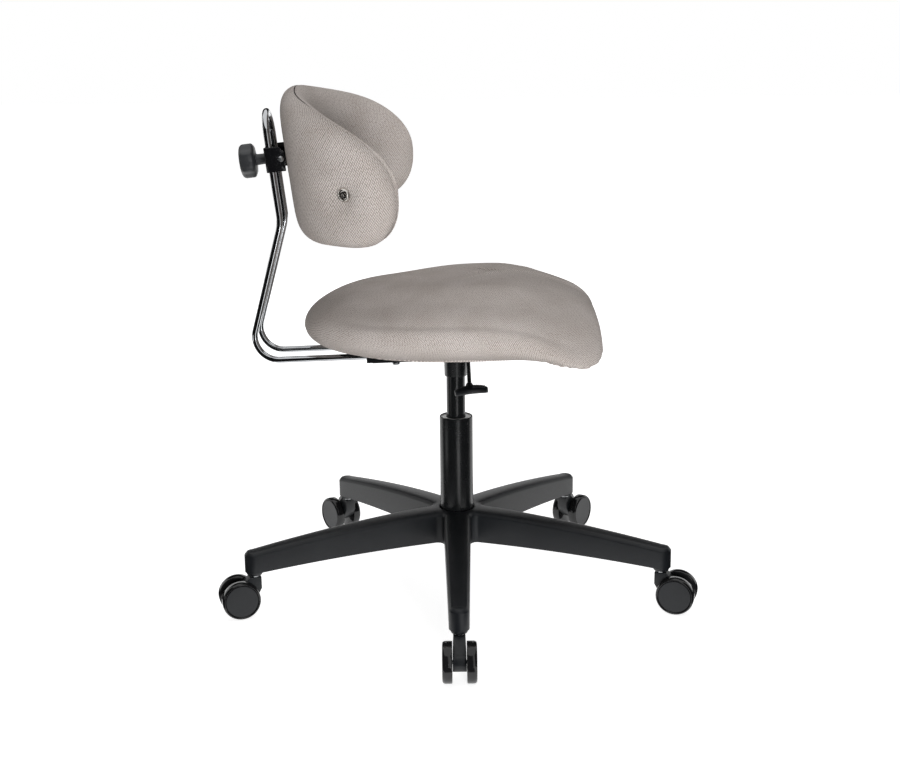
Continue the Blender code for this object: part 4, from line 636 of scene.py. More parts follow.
def wheel():
    """Matt disc inside a thin groove, then a polished shoulder and tread."""
    disc, rim, side = WHEEL_DISC_RADIUS, WHEEL_RADIUS, WHEEL_WIDTH
    face = side - 0.0009
    bore = AXLE_RADIUS + GAP
    bm = turned([
        (0, face - 0.0003), (0.6 * disc, face), (disc - 0.0004, face), (disc, face - 0.0004),
        (disc + 0.0003, face - 0.0007), (disc + 0.0007, face - 0.0004), (disc + 0.0011, face + 0.0004),
        (disc + 0.0019, side), (disc + 0.0027, side - 0.0003), (disc + 0.0035, side - 0.0012),
        (rim - 0.0003, side - 0.0026), (rim, side - 0.0040), (rim, 0.0012), (rim - 0.0004, 0.0004),
        (rim - 0.0012, 0), (bore, 0), (bore, WHEEL_HUB_DEPTH), (0, WHEEL_HUB_DEPTH)], 72)
    for item in bm.faces:
        middle = item.calc_center_median()
        outside = middle.z > face - 0.0007
        item.material_index = 1 if outside and hypot(middle.x, middle.y) < disc else 0
    return bm


def fork():
    """Side view of barrel and neck, pushed across and drawn in towards the stem. x runs outwards."""
    half_neck = FORK_NECK_LENGTH / 2
    start, end = radians(75), radians(-130)
    angles = [start + (end - start) * step / FORK_BARREL_STEPS for step in range(FORK_BARREL_STEPS + 1)]
    outline = [
        (-half_neck, FORK_TOP), (half_neck, FORK_TOP),
        *((CASTER_TRAIL + FORK_BARREL_RADIUS * cos(angle), AXLE_Z + FORK_BARREL_RADIUS * sin(angle))
          for angle in angles),
        (-half_neck * 0.2, AXLE_Z + 0.001), (-half_neck, AXLE_Z + FORK_BARREL_RADIUS)]
    bm = bmesh.new()
    face = bm.faces.new([bm.verts.new((x, -FORK_WIDTH / 2, z)) for x, z in outline])
    pushed = bmesh.ops.extrude_face_region(bm, geom=[face])["geom"]
    place_all(bm, shift(0, FORK_WIDTH, 0), of_kind(pushed, VERT))
    bmesh.ops.recalc_face_normals(bm, faces=bm.faces)
    for vert in bm.verts:
        height = min(max((vert.co.z - AXLE_Z) / (FORK_TOP - AXLE_Z), 0), 1)
        vert.co.y *= 1 + (FORK_NECK_WIDTH / FORK_WIDTH - 1) * height
    round_edges(bm, sharp_edges(bm), 0.0006, 3)
    return bm


def build_casters():
    for number in range(1, LEG_COUNT + 1):
        name = f"caster_{number}"
        caster = COLUMN @ leg_turn(number - 1) @ shift(CASTER_CIRCLE, 0, 0)
        dressed(f"{name}_housing", fork(), name, "black_nylon", f"{name}_fork", NYLON, place=caster)
        for side, sign in (("left", 1), ("right", -1)):
            axle = caster @ shift(CASTER_TRAIL, sign * (FORK_WIDTH / 2 + GAP), AXLE_Z)
            dressed(f"{name}_tyre_{side}", wheel(), f"wheel_{number}_{side}", "gloss_black_plastic",
                    f"{name}_wheel_{side}", GLOSS, NYLON, place=axle @ turn(-sign * pi / 2, "X"))
        refinish(ZINC, f"{name}_stem", f"{name}_axle")


# Five-star base

def along_leg(reach, root, tip, bow=1):
    """A size that changes from the leg's root to its tip."""
    return root + (tip - root) * min(max(reach / CASTER_CIRCLE, 0), 1) ** bow


def leg_top(reach):
    return along_leg(reach, LEG_ROOT_TOP, LEG_TIP_TOP, LEG_TOP_BOW)


def star_outline(bm):
    """Plan of the base: half of one leg is spun and extruded, mirrored, and turned to all five."""
    half_step = LEG_STEP / 2
    toward = Vector((cos(half_step), sin(half_step), 0))
    centre = HUB_REACH * toward
    vert = bm.verts.new(centre - HUB_FILLET * toward)
    spun = bmesh.ops.spin(bm, geom=[vert], cent=centre, axis=(0, 0, 1), angle=pi / 2 - half_step, steps=8)
    vert = of_kind(spun["geom_last"], VERT)[0]
    start = vert.co.copy()
    end = Vector((CASTER_CIRCLE, LEG_TIP_WIDTH / 2, 0))
    for run in range(LEG_RUNS):
        vert = bmesh.ops.extrude_vert_indiv(bm, verts=[vert])["verts"][0]
        vert.co = start.lerp(end, (run + 1) / LEG_RUNS)
    bmesh.ops.spin(bm, geom=[vert], cent=(CASTER_CIRCLE, 0, 0), axis=(0, 0, -1), angle=pi / 2, steps=8)
    half = list(bm.verts) + list(bm.edges)
    bmesh.ops.mirror(bm, geom=half, matrix=Matrix.Identity(4), axis="Y", merge_dist=0.000001)
    leg = list(bm.verts) + list(bm.edges)
    for index in range(1, LEG_COUNT):
        copy = bmesh.ops.duplicate(bm, geom=leg)["geom"]
        place_all(bm, turn(LEG_STEP * index, "Z"), of_kind(copy, VERT))
    bmesh.ops.remove_doubles(bm, verts=bm.verts, dist=MERGE)
    return bmesh.ops.edgeloop_fill(bm, edges=bm.edges)["faces"][0]


def star_body():
    """The solid star: straight walls, a rounded upper edge and a slightly crowned top that falls outwards."""
    bm = bmesh.new()
    low = star_outline(bm)
    pushed = bmesh.ops.extrude_face_region(bm, geom=[low], use_keep_orig=True)["geom"]
    high = of_kind(pushed, FACE)[0]

    def reach(vert):
        return hypot(vert.co.x, vert.co.y)

    for vert in low.verts:
        vert.co.z = along_leg(reach(vert), LEG_ROOT_BOTTOM, LEG_TIP_BOTTOM, LEG_BOTTOM_BOW)
    for vert in high.verts:
        vert.co.z = 1.0
    bmesh.ops.recalc_face_normals(bm, faces=bm.faces)
    levels = []
    for thickness in (0.8 * LEG_EDGE, LEG_CROWN_INSET):
        border = bmesh.ops.inset_region(bm, faces=[high], thickness=thickness, use_even_offset=True)["faces"]
        levels.append({vert for face in border for vert in face.verts} - set(high.verts))
    levels.append(set(high.verts))
    for verts, drop in zip(levels, (LEG_EDGE, 0.0, -LEG_CROWN)):
        for vert in verts:
            vert.co.z = leg_top(reach(vert)) - drop
    bmesh.ops.recalc_face_normals(bm, faces=bm.faces)
    rim = [edge for edge in bm.edges if any(all(vert in level for vert in edge.verts) for level in levels[:2])]
    round_edges(bm, rim, 0.0007, 2)
    bmesh.ops.triangulate(bm, faces=[face for face in bm.faces if len(face.verts) > 4])
    place_all(bm, leg_turn(0))
    return bm


def leg_cells(place):
    """Hollows under a leg, parted by ribs."""
    bm = bmesh.new()
    last = CASTER_CIRCLE - BOSS_RADIUS - LEG_WALL
    length = (last - HUB_REACH - LEG_RIB * (LEG_CELLS - 1)) / LEG_CELLS
    for cell in range(LEG_CELLS):
        near = HUB_REACH + cell * (length + LEG_RIB)
        for vert in bmesh.ops.create_cube(bm, size=1.0)["verts"]:
            reach = near if vert.co.x < 0 else near + length
            side = along_leg(reach, LEG_ROOT_WIDTH, LEG_TIP_WIDTH) / 2 - LEG_WALL
            height = LEG_TIP_BOTTOM - 0.03 if vert.co.z < 0 else leg_top(reach) - LEG_WALL - LEG_EDGE
            vert.co = (reach, copysign(side, vert.co.y), height)
    place_all(bm, place)
    return bm


def build_base():
    bore = TUBE_RADIUS + GAP
    hub = turned([
        (HUB_RADIUS, LEG_ROOT_BOTTOM + 0.004), (HUB_RADIUS, HUB_BOTTOM + 0.001), (HUB_RADIUS - 0.001, HUB_BOTTOM),
        (0, HUB_BOTTOM), (0, LEG_ROOT_BOTTOM + 0.004)], 64)
    bmesh.ops.holes_fill(hub, edges=hub.edges)
    mouth = turned([
        (0, LEG_ROOT_TOP + 0.006), (bore + 0.0084, LEG_ROOT_TOP + 0.006), (bore + 0.0012, LEG_ROOT_TOP - 0.0012),
        (bore, LEG_ROOT_TOP - 0.003), (bore - 0.001, HUB_BOTTOM), (bore - 0.001, HUB_BOTTOM - 0.005),
        (0, HUB_BOTTOM - 0.005)], 64)
    steps = [(hub, "UNION")]
    stem, deep = STEM_RADIUS + GAP, BOSS_BOTTOM + STEM_DEPTH + GAP
    for leg in map(leg_turn, range(LEG_COUNT)):
        boss = turned([
            (0, LEG_TIP_BOTTOM + 0.003), (BOSS_RADIUS, LEG_TIP_BOTTOM + 0.003), (BOSS_RADIUS, LEG_TIP_BOTTOM - 0.001),
            (BOSS_RADIUS - 0.0015, BOSS_BOTTOM), (0, BOSS_BOTTOM)], 40)
        socket = turned([(0, deep), (stem, deep), (stem, BOSS_BOTTOM - 0.004), (0, BOSS_BOTTOM - 0.004)], 24)
        for form in (boss, socket):
            place_all(form, leg @ shift(CASTER_CIRCLE, 0, 0))
        steps += [(leg_cells(leg), "DIFFERENCE"), (boss, "UNION"), (socket, "DIFFERENCE")]
    mesh = cut_and_joined("star_base", star_body(), *steps, (mouth, "DIFFERENCE"))
    dressed("star_base", mesh, "base", "black_nylon", "five_star_base", NYLON, place=COLUMN)


# Gas lift

def build_gas_lift():
    inner = TUBE_RADIUS - TUBE_WALL
    tube = turned([
        (inner, TUBE_TOP - 0.0006), (inner + 0.0006, TUBE_TOP), (TUBE_RADIUS - 0.0014, TUBE_TOP),
        (TUBE_RADIUS - 0.0004, TUBE_TOP - 0.0005), (TUBE_RADIUS, TUBE_TOP - 0.0016),
        (TUBE_RADIUS, LEG_ROOT_TOP - 0.0024), (TUBE_RADIUS - 0.001, HUB_BOTTOM), (TUBE_FLOOR_BORE, HUB_BOTTOM),
        (TUBE_FLOOR_BORE, HUB_BOTTOM + TUBE_FLOOR), (inner, HUB_BOTTOM + TUBE_FLOOR)], 72, closed=True)
    dimple = bmesh.new()
    bmesh.ops.create_uvsphere(dimple, u_segments=20, v_segments=12, radius=TUBE_DIMPLE_RADIUS)
    out = TUBE_RADIUS + 0.0009
    place_all(dimple, shift(out * cos(TUBE_DIMPLE_ANGLE), out * sin(TUBE_DIMPLE_ANGLE), TUBE_TOP - 0.0085))
    mesh = cut_and_joined("column_sleeve", tube, (dimple, "DIFFERENCE"))
    dressed("column_sleeve", mesh, "base", "black_painted_steel", "column_tube", POWDER, place=COLUMN)

    near, far = PISTON_RADIUS + GAP, inner - GAP
    bush = turned([
        (near, BUSH_TOP - 0.001), (near + 0.001, BUSH_TOP), (near + 0.0035, BUSH_TOP),
        (near + 0.0040, BUSH_TOP - 0.0006), (far - 0.0022, BUSH_TOP - 0.0006), (far - 0.0016, BUSH_TOP),
        (far - 0.0004, BUSH_TOP), (far, BUSH_TOP - 0.0004), (far, BUSH_TOP - BUSH_LENGTH),
        (near, BUSH_TOP - BUSH_LENGTH)], 72, closed=True)
    dressed("column_bush", bush, "base", "pale_bush_plastic", "guide_bush", ACETAL, place=COLUMN)

    piston = turned([
        (VALVE_BORE, PISTON_TOP), (PISTON_RADIUS - 0.0008, PISTON_TOP), (PISTON_RADIUS, SOCKET_BOTTOM),
        (PISTON_RADIUS, PISTON_BOTTOM), (ROD_BORE, PISTON_BOTTOM), (ROD_BORE, CHAMBER_BOTTOM),
        (CHAMBER_RADIUS, CHAMBER_BOTTOM), (CHAMBER_RADIUS, CHAMBER_TOP), (VALVE_BORE, CHAMBER_TOP)], 64, closed=True)
    dressed("piston_cylinder", piston, "seat", "black_painted_steel", "gas_piston", POWDER, place=COLUMN)
    refinish(ZINC, "thrust_bearing", "piston_rod", "rod_clip", "release_pin", "lever_pin")


# Seat plate, clamp and screws

def screw(node, foot=None, length=None):
    """A pan-head screw with a hexagon socket in the place of a CAD screw, as long as that if no length is given."""
    low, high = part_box(node)
    middle = SEAT.inverted() @ ((low + high) / 2)
    if length is None:
        length = (high - low).z
        foot = middle.z - length / 2
    bm = turned([
        (0, length), (SCREW_RADIUS, length), (SCREW_RADIUS, SCREW_HEAD_HEIGHT), (SCREW_HEAD_RADIUS, SCREW_HEAD_HEIGHT),
        (SCREW_HEAD_RADIUS, 0.0013), (0.0050, 0.0005), (0.0036, 0), (0, 0)], 40)
    mesh = cut_and_joined(f"{node}_head", bm, (rod(6, 0.0019, 0.004, Matrix.Identity(4)), "DIFFERENCE"))
    dressed(f"{node}_turned", mesh, "seat", "zinc_steel", node, ZINC, place=SEAT @ shift(middle.x, middle.y, foot))


def build_seat_plate():
    dressed("seat_plate_pressing", softened("seat_plate", 0.0006), "seat", "black_painted_steel", "seat_plate", POWDER)
    dressed("bar_saddle", softened("bar_clamp", 0.0007), "seat", "black_nylon", "bar_clamp", NYLON)
    for number in range(1, 5):
        screw(f"seat_screw_{number}", PLATE_BOTTOM - GAP - SCREW_HEAD_HEIGHT, SCREW_HEAD_HEIGHT + SCREW_LENGTH)
    for number in (1, 2):
        screw(f"clamp_screw_{number}")


# Back bar

def build_back_bar():
    half = Vector((0, BAR_SPACING / 2, 0))
    knee = Vector((BAR_KNEE_X, 0, BAR_KNEE_Z))
    up = Vector((-sin(BAR_LEAN), 0, cos(BAR_LEAN)))
    low = Vector((BAR_KNEE_X - (BAR_KNEE_Z - BAR_Z) * tan(BAR_INCLINE), 0, BAR_Z))
    side = [Vector((BAR_FRONT_X, 0, BAR_Z)), low, knee, knee + (BAR_UPPER_LENGTH + half.y) * up]
    corners = [point - half for point in side] + [point + half for point in reversed(side)]
    bends = [BAR_LOW_BEND, BAR_KNEE_BEND, half.y]
    bm = swept_rod(corners, bends + bends[::-1], BAR_RADIUS, 28)
    round_edges(bm, sharp_edges(bm, 60), 0.0008, 2)
    dressed("chrome_back_bar", bm, "seat", "chrome", "back_bar", CHROME, place=SEAT)


# Height lever

def paddle_height(share):
    return -LEVER_FALL - PADDLE_DROP - PADDLE_SAG * share * share


def paddle_point(angle, share, swell):
    thick = (0.45 + 0.55 * swell) * PADDLE_THICKNESS / 2
    return (LEVER_SIDE + PADDLE_SIDE + share * PADDLE_WIDTH / 2,
            PADDLE_MIDDLE_Y + swell * PADDLE_DEPTH / 2 * cos(angle),
            paddle_height(share) + thick * sin(angle))


def build_lever():
    corners = [Vector((-LEVER_X, -LEVER_PIVOT_Y, 0)), Vector((0, LEVER_ELBOW, 0)),
               Vector((0, -0.6 * LEVER_ELBOW, 0)), Vector((LEVER_SIDE, -LEVER_REACH, -LEVER_FALL))]
    arm = swept_rod(corners, [LEVER_ELBOW, LEVER_ELBOW], LEVER_RADIUS, 24)
    half = LEVER_BARREL_WIDTH / 2
    barrel = turned([(LEVER_BORE, -half), (LEVER_BARREL_RADIUS, -half), (LEVER_BARREL_RADIUS, half),
                     (LEVER_BORE, half)], 32, closed=True)
    place_all(barrel, turn(pi / 2, "Y"))
    mesh = cut_and_joined("lever_rod", arm, (barrel, "UNION"))
    dressed("lever_rod", mesh, "lever", "black_painted_steel", "lever_arm", POWDER, place=LEVER)

    # A leaf-shaped finger paddle with grip ribs on one side and a collar round the rod
    leaf = lofted(28, PADDLE_STATIONS, paddle_point)
    round_edges(leaf, sharp_edges(leaf, 45), 0.0010, 3)
    steps = []
    for rib in range(PADDLE_RIBS):
        x = LEVER_SIDE + PADDLE_SIDE + 0.0030 + PADDLE_RIB_PITCH * rib
        top = paddle_height((x - LEVER_SIDE - PADDLE_SIDE) / (PADDLE_WIDTH / 2)) + 0.47 * PADDLE_THICKNESS
        place = shift(x, PADDLE_MIDDLE_Y - 0.004, top) @ turn(pi / 2, "X")
        steps.append((rod(12, 0.0008, 0.014, place), "UNION"))
    collar = turned([(0, 0.004), (0.0062, 0.004), (0.0056, -0.006), (0.0048, -0.009), (0, -0.009)], 32)
    place_all(collar, shift(*corners[-1]) @ aimed((corners[-1] - corners[-2]).normalized()))
    mesh = cut_and_joined("finger_paddle", leaf, *steps, (collar, "UNION"))
    lean = shift(0, 0, -LEVER_FALL) @ turn(PADDLE_LEAN, "Y") @ shift(0, 0, LEVER_FALL)
    dressed("finger_paddle", mesh, "lever", "black_nylon", "lever_paddle", NYLON, place=LEVER @ lean)


# Backrest slider

def knob_point(angle, x, radius, lobe):
    reach = radius + lobe * cos(KNOB_LOBES * angle)
    return x, reach * cos(angle), reach * sin(angle)


def knob():
    """A round knob with soft lobes on a plain neck."""
    front = WEB_REAR - GAP
    grip = front - KNOB_NECK_LENGTH
    neck, wide, lobe = KNOB_NECK_RADIUS, KNOB_RADIUS, KNOB_LOBE
    return lofted(12 * KNOB_LOBES, [
        (front, 0.94 * neck, 0), (grip + 0.002, neck, 0), (grip, 1.12 * neck, 0),
        (grip - 0.0008, 0.62 * wide, 0.2 * lobe), (grip - 0.0014, 0.80 * wide, 0.5 * lobe),
        (grip - 0.0026, 0.90 * wide, 0.8 * lobe), (grip - 0.0046, wide - lobe, lobe),
        (grip - 0.0166, wide - lobe, lobe), (grip - 0.0192, 0.925 * wide, 0.9 * lobe),
        (grip - 0.0214, 0.865 * wide, 0.6 * lobe), (grip - 0.0226, 0.78 * wide, 0.2 * lobe),
        (grip - KNOB_THICKNESS, 0.68 * wide, 0), (grip - KNOB_THICKNESS + 0.0006, 0.45 * wide, 0)], knob_point)


def build_slider():
    for name, node, width in (("folded_channel", "clamp_channel", 0.0009), ("grooved_jaw", "clamp_jaw", 0.0005)):
        dressed(name, softened(node, width), "back_slider", "black_painted_steel", node, ENAMEL)
    head = CHEEK_OUTER + GAP
    dome = [(PIVOT_HEAD_RADIUS * share, head + PIVOT_HEAD_HEIGHT * rise)
            for share, rise in ((0, 1), (0.25, 0.97), (0.55, 0.82), (0.82, 0.55), (1, 0.2), (1, 0))]
    dome.append((PIVOT_RADIUS, head))
    shaft = turned(dome + [(radius, -height) for radius, height in reversed(dome)], 40)
    dressed("pivot_rivet", shaft, "back_slider", "zinc_steel", "pivot_shaft", ZINC, place=PIVOT @ turn(pi / 2, "X"))
    dressed("lobed_knob", knob(), "knob", "black_nylon", "hand_knob", PHENOLIC, place=SLIDER)
    dressed("bracket_welded", softened("tilt_bracket", 0.0005), "tilt", "black_painted_steel", "tilt_bracket", ENAMEL)
    refinish(ZINC, "knob_stud", "turn_bolt")
    refinish(PLYWOOD, "backrest_shell")


# Buttons

def build_buttons():
    """Each wing's fixing: a bright cup washer round a domed screw with a hexagon socket."""
    for side, sign in (("left", 1), ("right", -1)):
        node = f"pad_button_{side}"
        outward = BACKREST @ shift(PAD_AXIS_X, 0, BUTTON_HEIGHT)
        outward = outward @ turn(-sign * BUTTON_ANGLE, "Z") @ turn(-pi / 2, "Y")
        inward = outward.inverted()
        heights = [(inward @ vert.co).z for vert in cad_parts[node].data.vertices]
        top, foot = max(heights) + BUTTON_PROUD, min(heights)
        seat = top - BUTTON_PROUD - BUTTON_HEAD_HEIGHT
        bm = turned([
            (0, top - 0.0008), (0.0030, top - 0.0009), (0.0044, top - 0.0015), (0.0050, top - 0.0026),
            (0.0050, top - 0.0034), (0.0058, top - 0.0034), (0.0066, top - 0.0016), (0.0073, top - 0.0003),
            (0.0079, top), (0.0086, top - 0.0005), (0.0098, top - 0.0022), (0.0108, top - 0.0042),
            (WASHER_RADIUS, seat - WASHER_SKIRT), (WASHER_RADIUS - 0.0004, seat - WASHER_SKIRT - 0.0002),
            (BUTTON_SHANK_RADIUS, seat), (BUTTON_SHANK_RADIUS, foot), (0, foot)], 56)
        socket = rod(6, 0.0021, 0.003, shift(0, 0, top - BUTTON_PROUD))
        mesh = cut_and_joined(f"{node}_turned", bm, (socket, "DIFFERENCE"))
        dressed(f"{node}_turned", mesh, "backrest", "zinc_steel", node, NICKEL, place=outward)


# Upholstery

def smooth_step(value):
    value = np.clip(value, 0.0, 1.0)
    return value * value * (3 - 2 * value)


def read(mesh, what):
    """The places (co) or normals (normal) of a mesh's points."""
    flat = np.empty(len(mesh.vertices) * 3)
    mesh.vertices.foreach_get(what, flat)
    return flat.reshape(-1, 3)


def put_points(mesh, points):
    mesh.vertices.foreach_set("co", points.astype(np.float32).ravel())
    mesh.update()


def into(place, points):
    """Points of the chair seen from a moving group's own place."""
    back = np.array(place.inverted())
    return points @ back[:3, :3].T + back[:3, 3]


def make_finer(obj, levels):
    finer = obj.modifiers.new("finer", "SUBSURF")
    finer.levels = levels
    finer.render_levels = levels


def remeshed(name, node, voxel):
    """A copy of a soft CAD node, its facets rounded off and its mesh made even."""
    bm = cad_form(node)
    bmesh.ops.join_triangles(bm, faces=bm.faces, angle_face_threshold=0.6, angle_shape_threshold=1.5)
    obj = holder(name, to_mesh(name, bm))
    make_finer(obj, 2)
    even = obj.modifiers.new("even", "REMESH")
    even.mode = "VOXEL"
    even.voxel_size = voxel
    return applied(obj, name)


def relaxed(mesh, rounds):
    """Evens out what the facets of the CAD form leave."""
    bm = bmesh.new()
    bm.from_mesh(mesh)
    for _ in range(rounds):
        bmesh.ops.smooth_vert(bm, verts=bm.verts, factor=0.5, use_axis_x=True, use_axis_y=True, use_axis_z=True)
    bm.to_mesh(mesh)
    bm.free()


def evened(mesh, values, rounds):
    """A value per point, averaged with its neighbours again and again."""
    ends = np.empty(len(mesh.edges) * 2, dtype=np.int64)
    mesh.edges.foreach_get("vertices", ends)
    one, two = ends.reshape(-1, 2).T
    count = np.bincount(ends, minlength=len(values))
    for _ in range(rounds):
        total = (np.bincount(one, weights=values[two], minlength=len(values))
                 + np.bincount(two, weights=values[one], minlength=len(values)))
        values = 0.5 * values + 0.5 * total / count
    return values


def plumped(mesh, held, pressure, cap):
    """Blows the cover up like stuffed cloth and keeps the even part of its swelling, up to the cap.

    Held points stay.
    """
    rest = read(mesh, "co")
    obj = holder("plumping", mesh)
    group = obj.vertex_groups.new(name="held")
    group.add([int(index) for index in np.nonzero(held)[0]], 1.0, "REPLACE")
    cloth = obj.modifiers.new("plump", "CLOTH")
    for name, value in CLOTH_SETTINGS.items():
        setattr(cloth.settings, name, value)
    cloth.settings.uniform_pressure_force = pressure
    cloth.settings.effector_weights.gravity = 0.0
    cloth.point_cache.frame_start = 1
    cloth.point_cache.frame_end = CLOTH_FRAMES
    scene = bpy.context.scene
    for step in range(1, CLOTH_FRAMES + 1):
        scene.frame_set(step)
    swollen = obj.evaluated_get(bpy.context.evaluated_depsgraph_get())
    normals = read(mesh, "normal")
    swell = ((read(swollen.to_mesh(), "co") - rest) * normals).sum(axis=1)
    swollen.to_mesh_clear()
    scene.frame_set(1)
    bpy.data.objects.remove(obj, do_unlink=True)
    swell = evened(mesh, np.clip(swell, 0.0, cap), PLUMP_ROUNDS)
    put_points(mesh, rest + normals * swell[:, None])


def stuffed(name, mesh, held, pressure, cap):
    """A cover plumped up and made finer."""
    plumped(mesh, held, pressure, cap)
    obj = holder(name, mesh)
    make_finer(obj, 1)
    return applied(obj, name)


def crest_rise(x, y):
    """The soft fold on the seat: along its middle in front, forked further back."""
    fork_at = CREST_FORK * smooth_step((0.085 - x) / 0.085)
    fade = smooth_step((x + 0.010) / 0.060) * smooth_step((0.212 - x) / 0.030)
    return CREST_HEIGHT * fade * np.exp(-(((np.abs(y) - fork_at) / CREST_NEAR) ** 2))


def pleat_rise(x, y, z):
    """Small gathers where the cover is drawn under the front corners."""
    corner = smooth_step((x - 0.10) / 0.06) * smooth_step((np.abs(y) - 0.07) / 0.07)
    droop = smooth_step((x - 0.062) / 0.144) * (2 * y / SEAT_WIDTH) ** 2 * SEAT_CORNER_DROOP
    low = smooth_step((SEAT_RIM - droop + 0.002 - z) / 0.016)
    round_edge = np.arctan2(y, x - 0.04) * SEAT_WIDTH / 2
    gathers = np.cos(2 * pi * round_edge / PLEAT_LENGTH + 2 * np.sin(40 * round_edge))
    return PLEAT_DEPTH * corner * low * gathers


def nose_drop(x, y, z):
    """How far the foam hangs down and forward at the front corners."""
    corner = smooth_step((x - 0.12) / 0.07) * smooth_step((np.abs(y) - 0.09) / 0.08)
    return NOSE_DROP * corner * smooth_step((SEAT_RIM - z) / 0.030)


def seat_rim(local):
    """For points of the seat: the way out from its middle, their reach, and the rim's reach and height there."""
    outward = local[:, :2] - SEAT_MIDDLE
    reach = np.linalg.norm(outward, axis=1)
    outward /= np.maximum(reach, 1e-6)[:, None]
    angle = np.arctan2(outward[:, 1], outward[:, 0])
    full_turn = 2 * pi
    sector = ((angle / full_turn + 0.5) * SEAT_SECTORS).astype(int) % SEAT_SECTORS
    order = np.lexsort((reach, sector))
    widest = np.zeros(SEAT_SECTORS)
    height = np.zeros(SEAT_SECTORS)
    widest[sector[order]] = reach[order]
    height[sector[order]] = local[order, 2]
    centres = ((np.arange(SEAT_SECTORS) + 0.5) / SEAT_SECTORS - 0.5) * full_turn
    return (outward, reach, np.interp(angle, centres, widest, period=full_turn),
            np.interp(angle, centres, height, period=full_turn))


def flank_lift(local):
    """How far the top is raised along the middle and let down over the sides: its flanks are nearly flat."""
    outward, reach, widest, height = seat_rim(local)
    share = np.minimum(reach / widest, 1.0)
    side = smooth_step((np.abs(outward[:, 1]) - 0.35) / 0.4)
    ahead = 0.4 + 0.6 * smooth_step((local[:, 0] + 0.08) / 0.10)
    raised = FLANK_RAISE * ahead * smooth_step((0.80 - share) / 0.40)
    lowered = FLANK_FALL * side * smooth_step((1 - share) / 0.08) * smooth_step((share - 0.45) / 0.30)
    return (raised - lowered) * (local[:, 2] > height)


def seat_knit_map(mesh):
    """Lays the knit flat on the top and lets it run on down the sides and under the edge, in metres."""
    local = into(SEAT, read(mesh, "co"))
    outward, reach, widest, height = seat_rim(local)
    below = local[:, 2] < height
    travel = np.where(below, 2 * widest - reach, reach) + 0.85 * (SEAT_TOP - local[:, 2])
    flat = SEAT_KNIT * (SEAT_MIDDLE + outward * travel[:, None])
    corners = np.empty(len(mesh.loops), dtype=np.int64)
    mesh.loops.foreach_get("vertex_index", corners)
    layer = mesh.uv_layers.new(name="knit")
    layer.data.foreach_set("uv", flat[corners].astype(np.float32).ravel())


def build_seat():
    mesh = remeshed("seat_cover", "seat_cushion", SEAT_VOXEL)
    relaxed(mesh, 4)
    points = read(mesh, "co")
    drop = nose_drop(*into(SEAT, points).T)
    put_points(mesh, points + drop[:, None] * np.array((0.6, 0.0, -0.8)))
    held = (into(SEAT, read(mesh, "co"))[:, 2] < SEAT_RIM) & (read(mesh, "normal")[:, 2] < -0.5)
    mesh = stuffed("seat_cover", mesh, held, SEAT_PRESSURE, SEAT_SWELL)
    points = read(mesh, "co")
    points[:, 2] += flank_lift(into(SEAT, points))
    put_points(mesh, points)
    normals = read(mesh, "normal")
    x, y, z = into(SEAT, points).T
    rise = crest_rise(x, y) * (normals[:, 2] > 0.2) + pleat_rise(x, y, z)
    put_points(mesh, points + normals * rise[:, None])
    seat_knit_map(mesh)
    cover = dressed("seat_cover", mesh, "seat", "grey_fabric", "seat_cushion", KNIT)


def build_pan():
    """The board under the cushion: the knit is drawn round its edge and a black lining closes it below."""
    bm = softened("seat_pan", 0.0025)
    layer = bm.loops.layers.uv.new("knit")
    for face in bm.faces:
        face.material_index = 1 if face.normal.z < -0.6 else 0
        for loop in face.loops:
            loop[layer].uv = (loop.vert.co.x + loop.vert.co.y, loop.vert.co.z)
    dressed("wrapped_pan", bm, "seat", "grey_fabric", "seat_pan", KNIT, LINING)


def bell(value, spread, power=2):
    return exp(-(value / spread) ** power)


def pad_edge(angle):
    """Outline of the pad laid flat: (distance round the arc, height)."""
    along = cos(angle)
    rise = sin(angle)
    if rise >= 0:
        bump = bell(along, PAD_SHOULDER_SPREAD)
        height = PAD_TIP + (PAD_TOP - PAD_TIP) * rise * (PAD_SHOULDER + (1 - PAD_SHOULDER) * bump)
    else:
        notch = PAD_LOW_NOTCH * bell(along, PAD_LOW_NOTCH_SPREAD)
        waist = PAD_WAIST * bell(abs(along) - PAD_WAIST_PLACE, PAD_WAIST_SPREAD)
        drop = sqrt(max(1 - abs(along) ** PAD_LOW_SQUARENESS, 0)) - notch - waist * -rise
        height = PAD_TIP - (PAD_TIP - PAD_LOW) * drop
    return PAD_HALF_ARC * along, height


def dimple_depth(distance, height):
    """Depth of the hollows that the buttons pull into the wings, with small folds round them."""
    total = 0.0
    for sign in (-1, 1):
        across = distance - sign * BUTTON_ANGLE * SHELL_RADIUS
        up = height - BUTTON_HEIGHT
        apart = hypot(across, up)
        folds = cos(DIMPLE_FOLDS * atan2(up, across)) * (1 - bell(apart, 0.010))
        total += (DIMPLE_DEPTH + DIMPLE_FOLD_DEPTH * folds) * bell(apart, DIMPLE_SPREAD, 1.5)
    return total


def bent(distance, height, offset):
    """A point of the flat pad, bent round the arc and moved out of the middle surface by offset."""
    angle = distance / SHELL_RADIUS
    radius = SHELL_RADIUS + offset
    return Vector((PAD_AXIS_X - radius * cos(angle), radius * sin(angle), height))


def seam_shift(angle):
    """How far the seam lies on the inner side of the board: nothing at the middle, most on the wings' upper edges."""
    return (PAD_SEAM_SHIFT * smooth_step((abs(cos(angle)) - 0.12) / 0.3)
            * smooth_step(sin(angle) / 0.3 + 0.3))


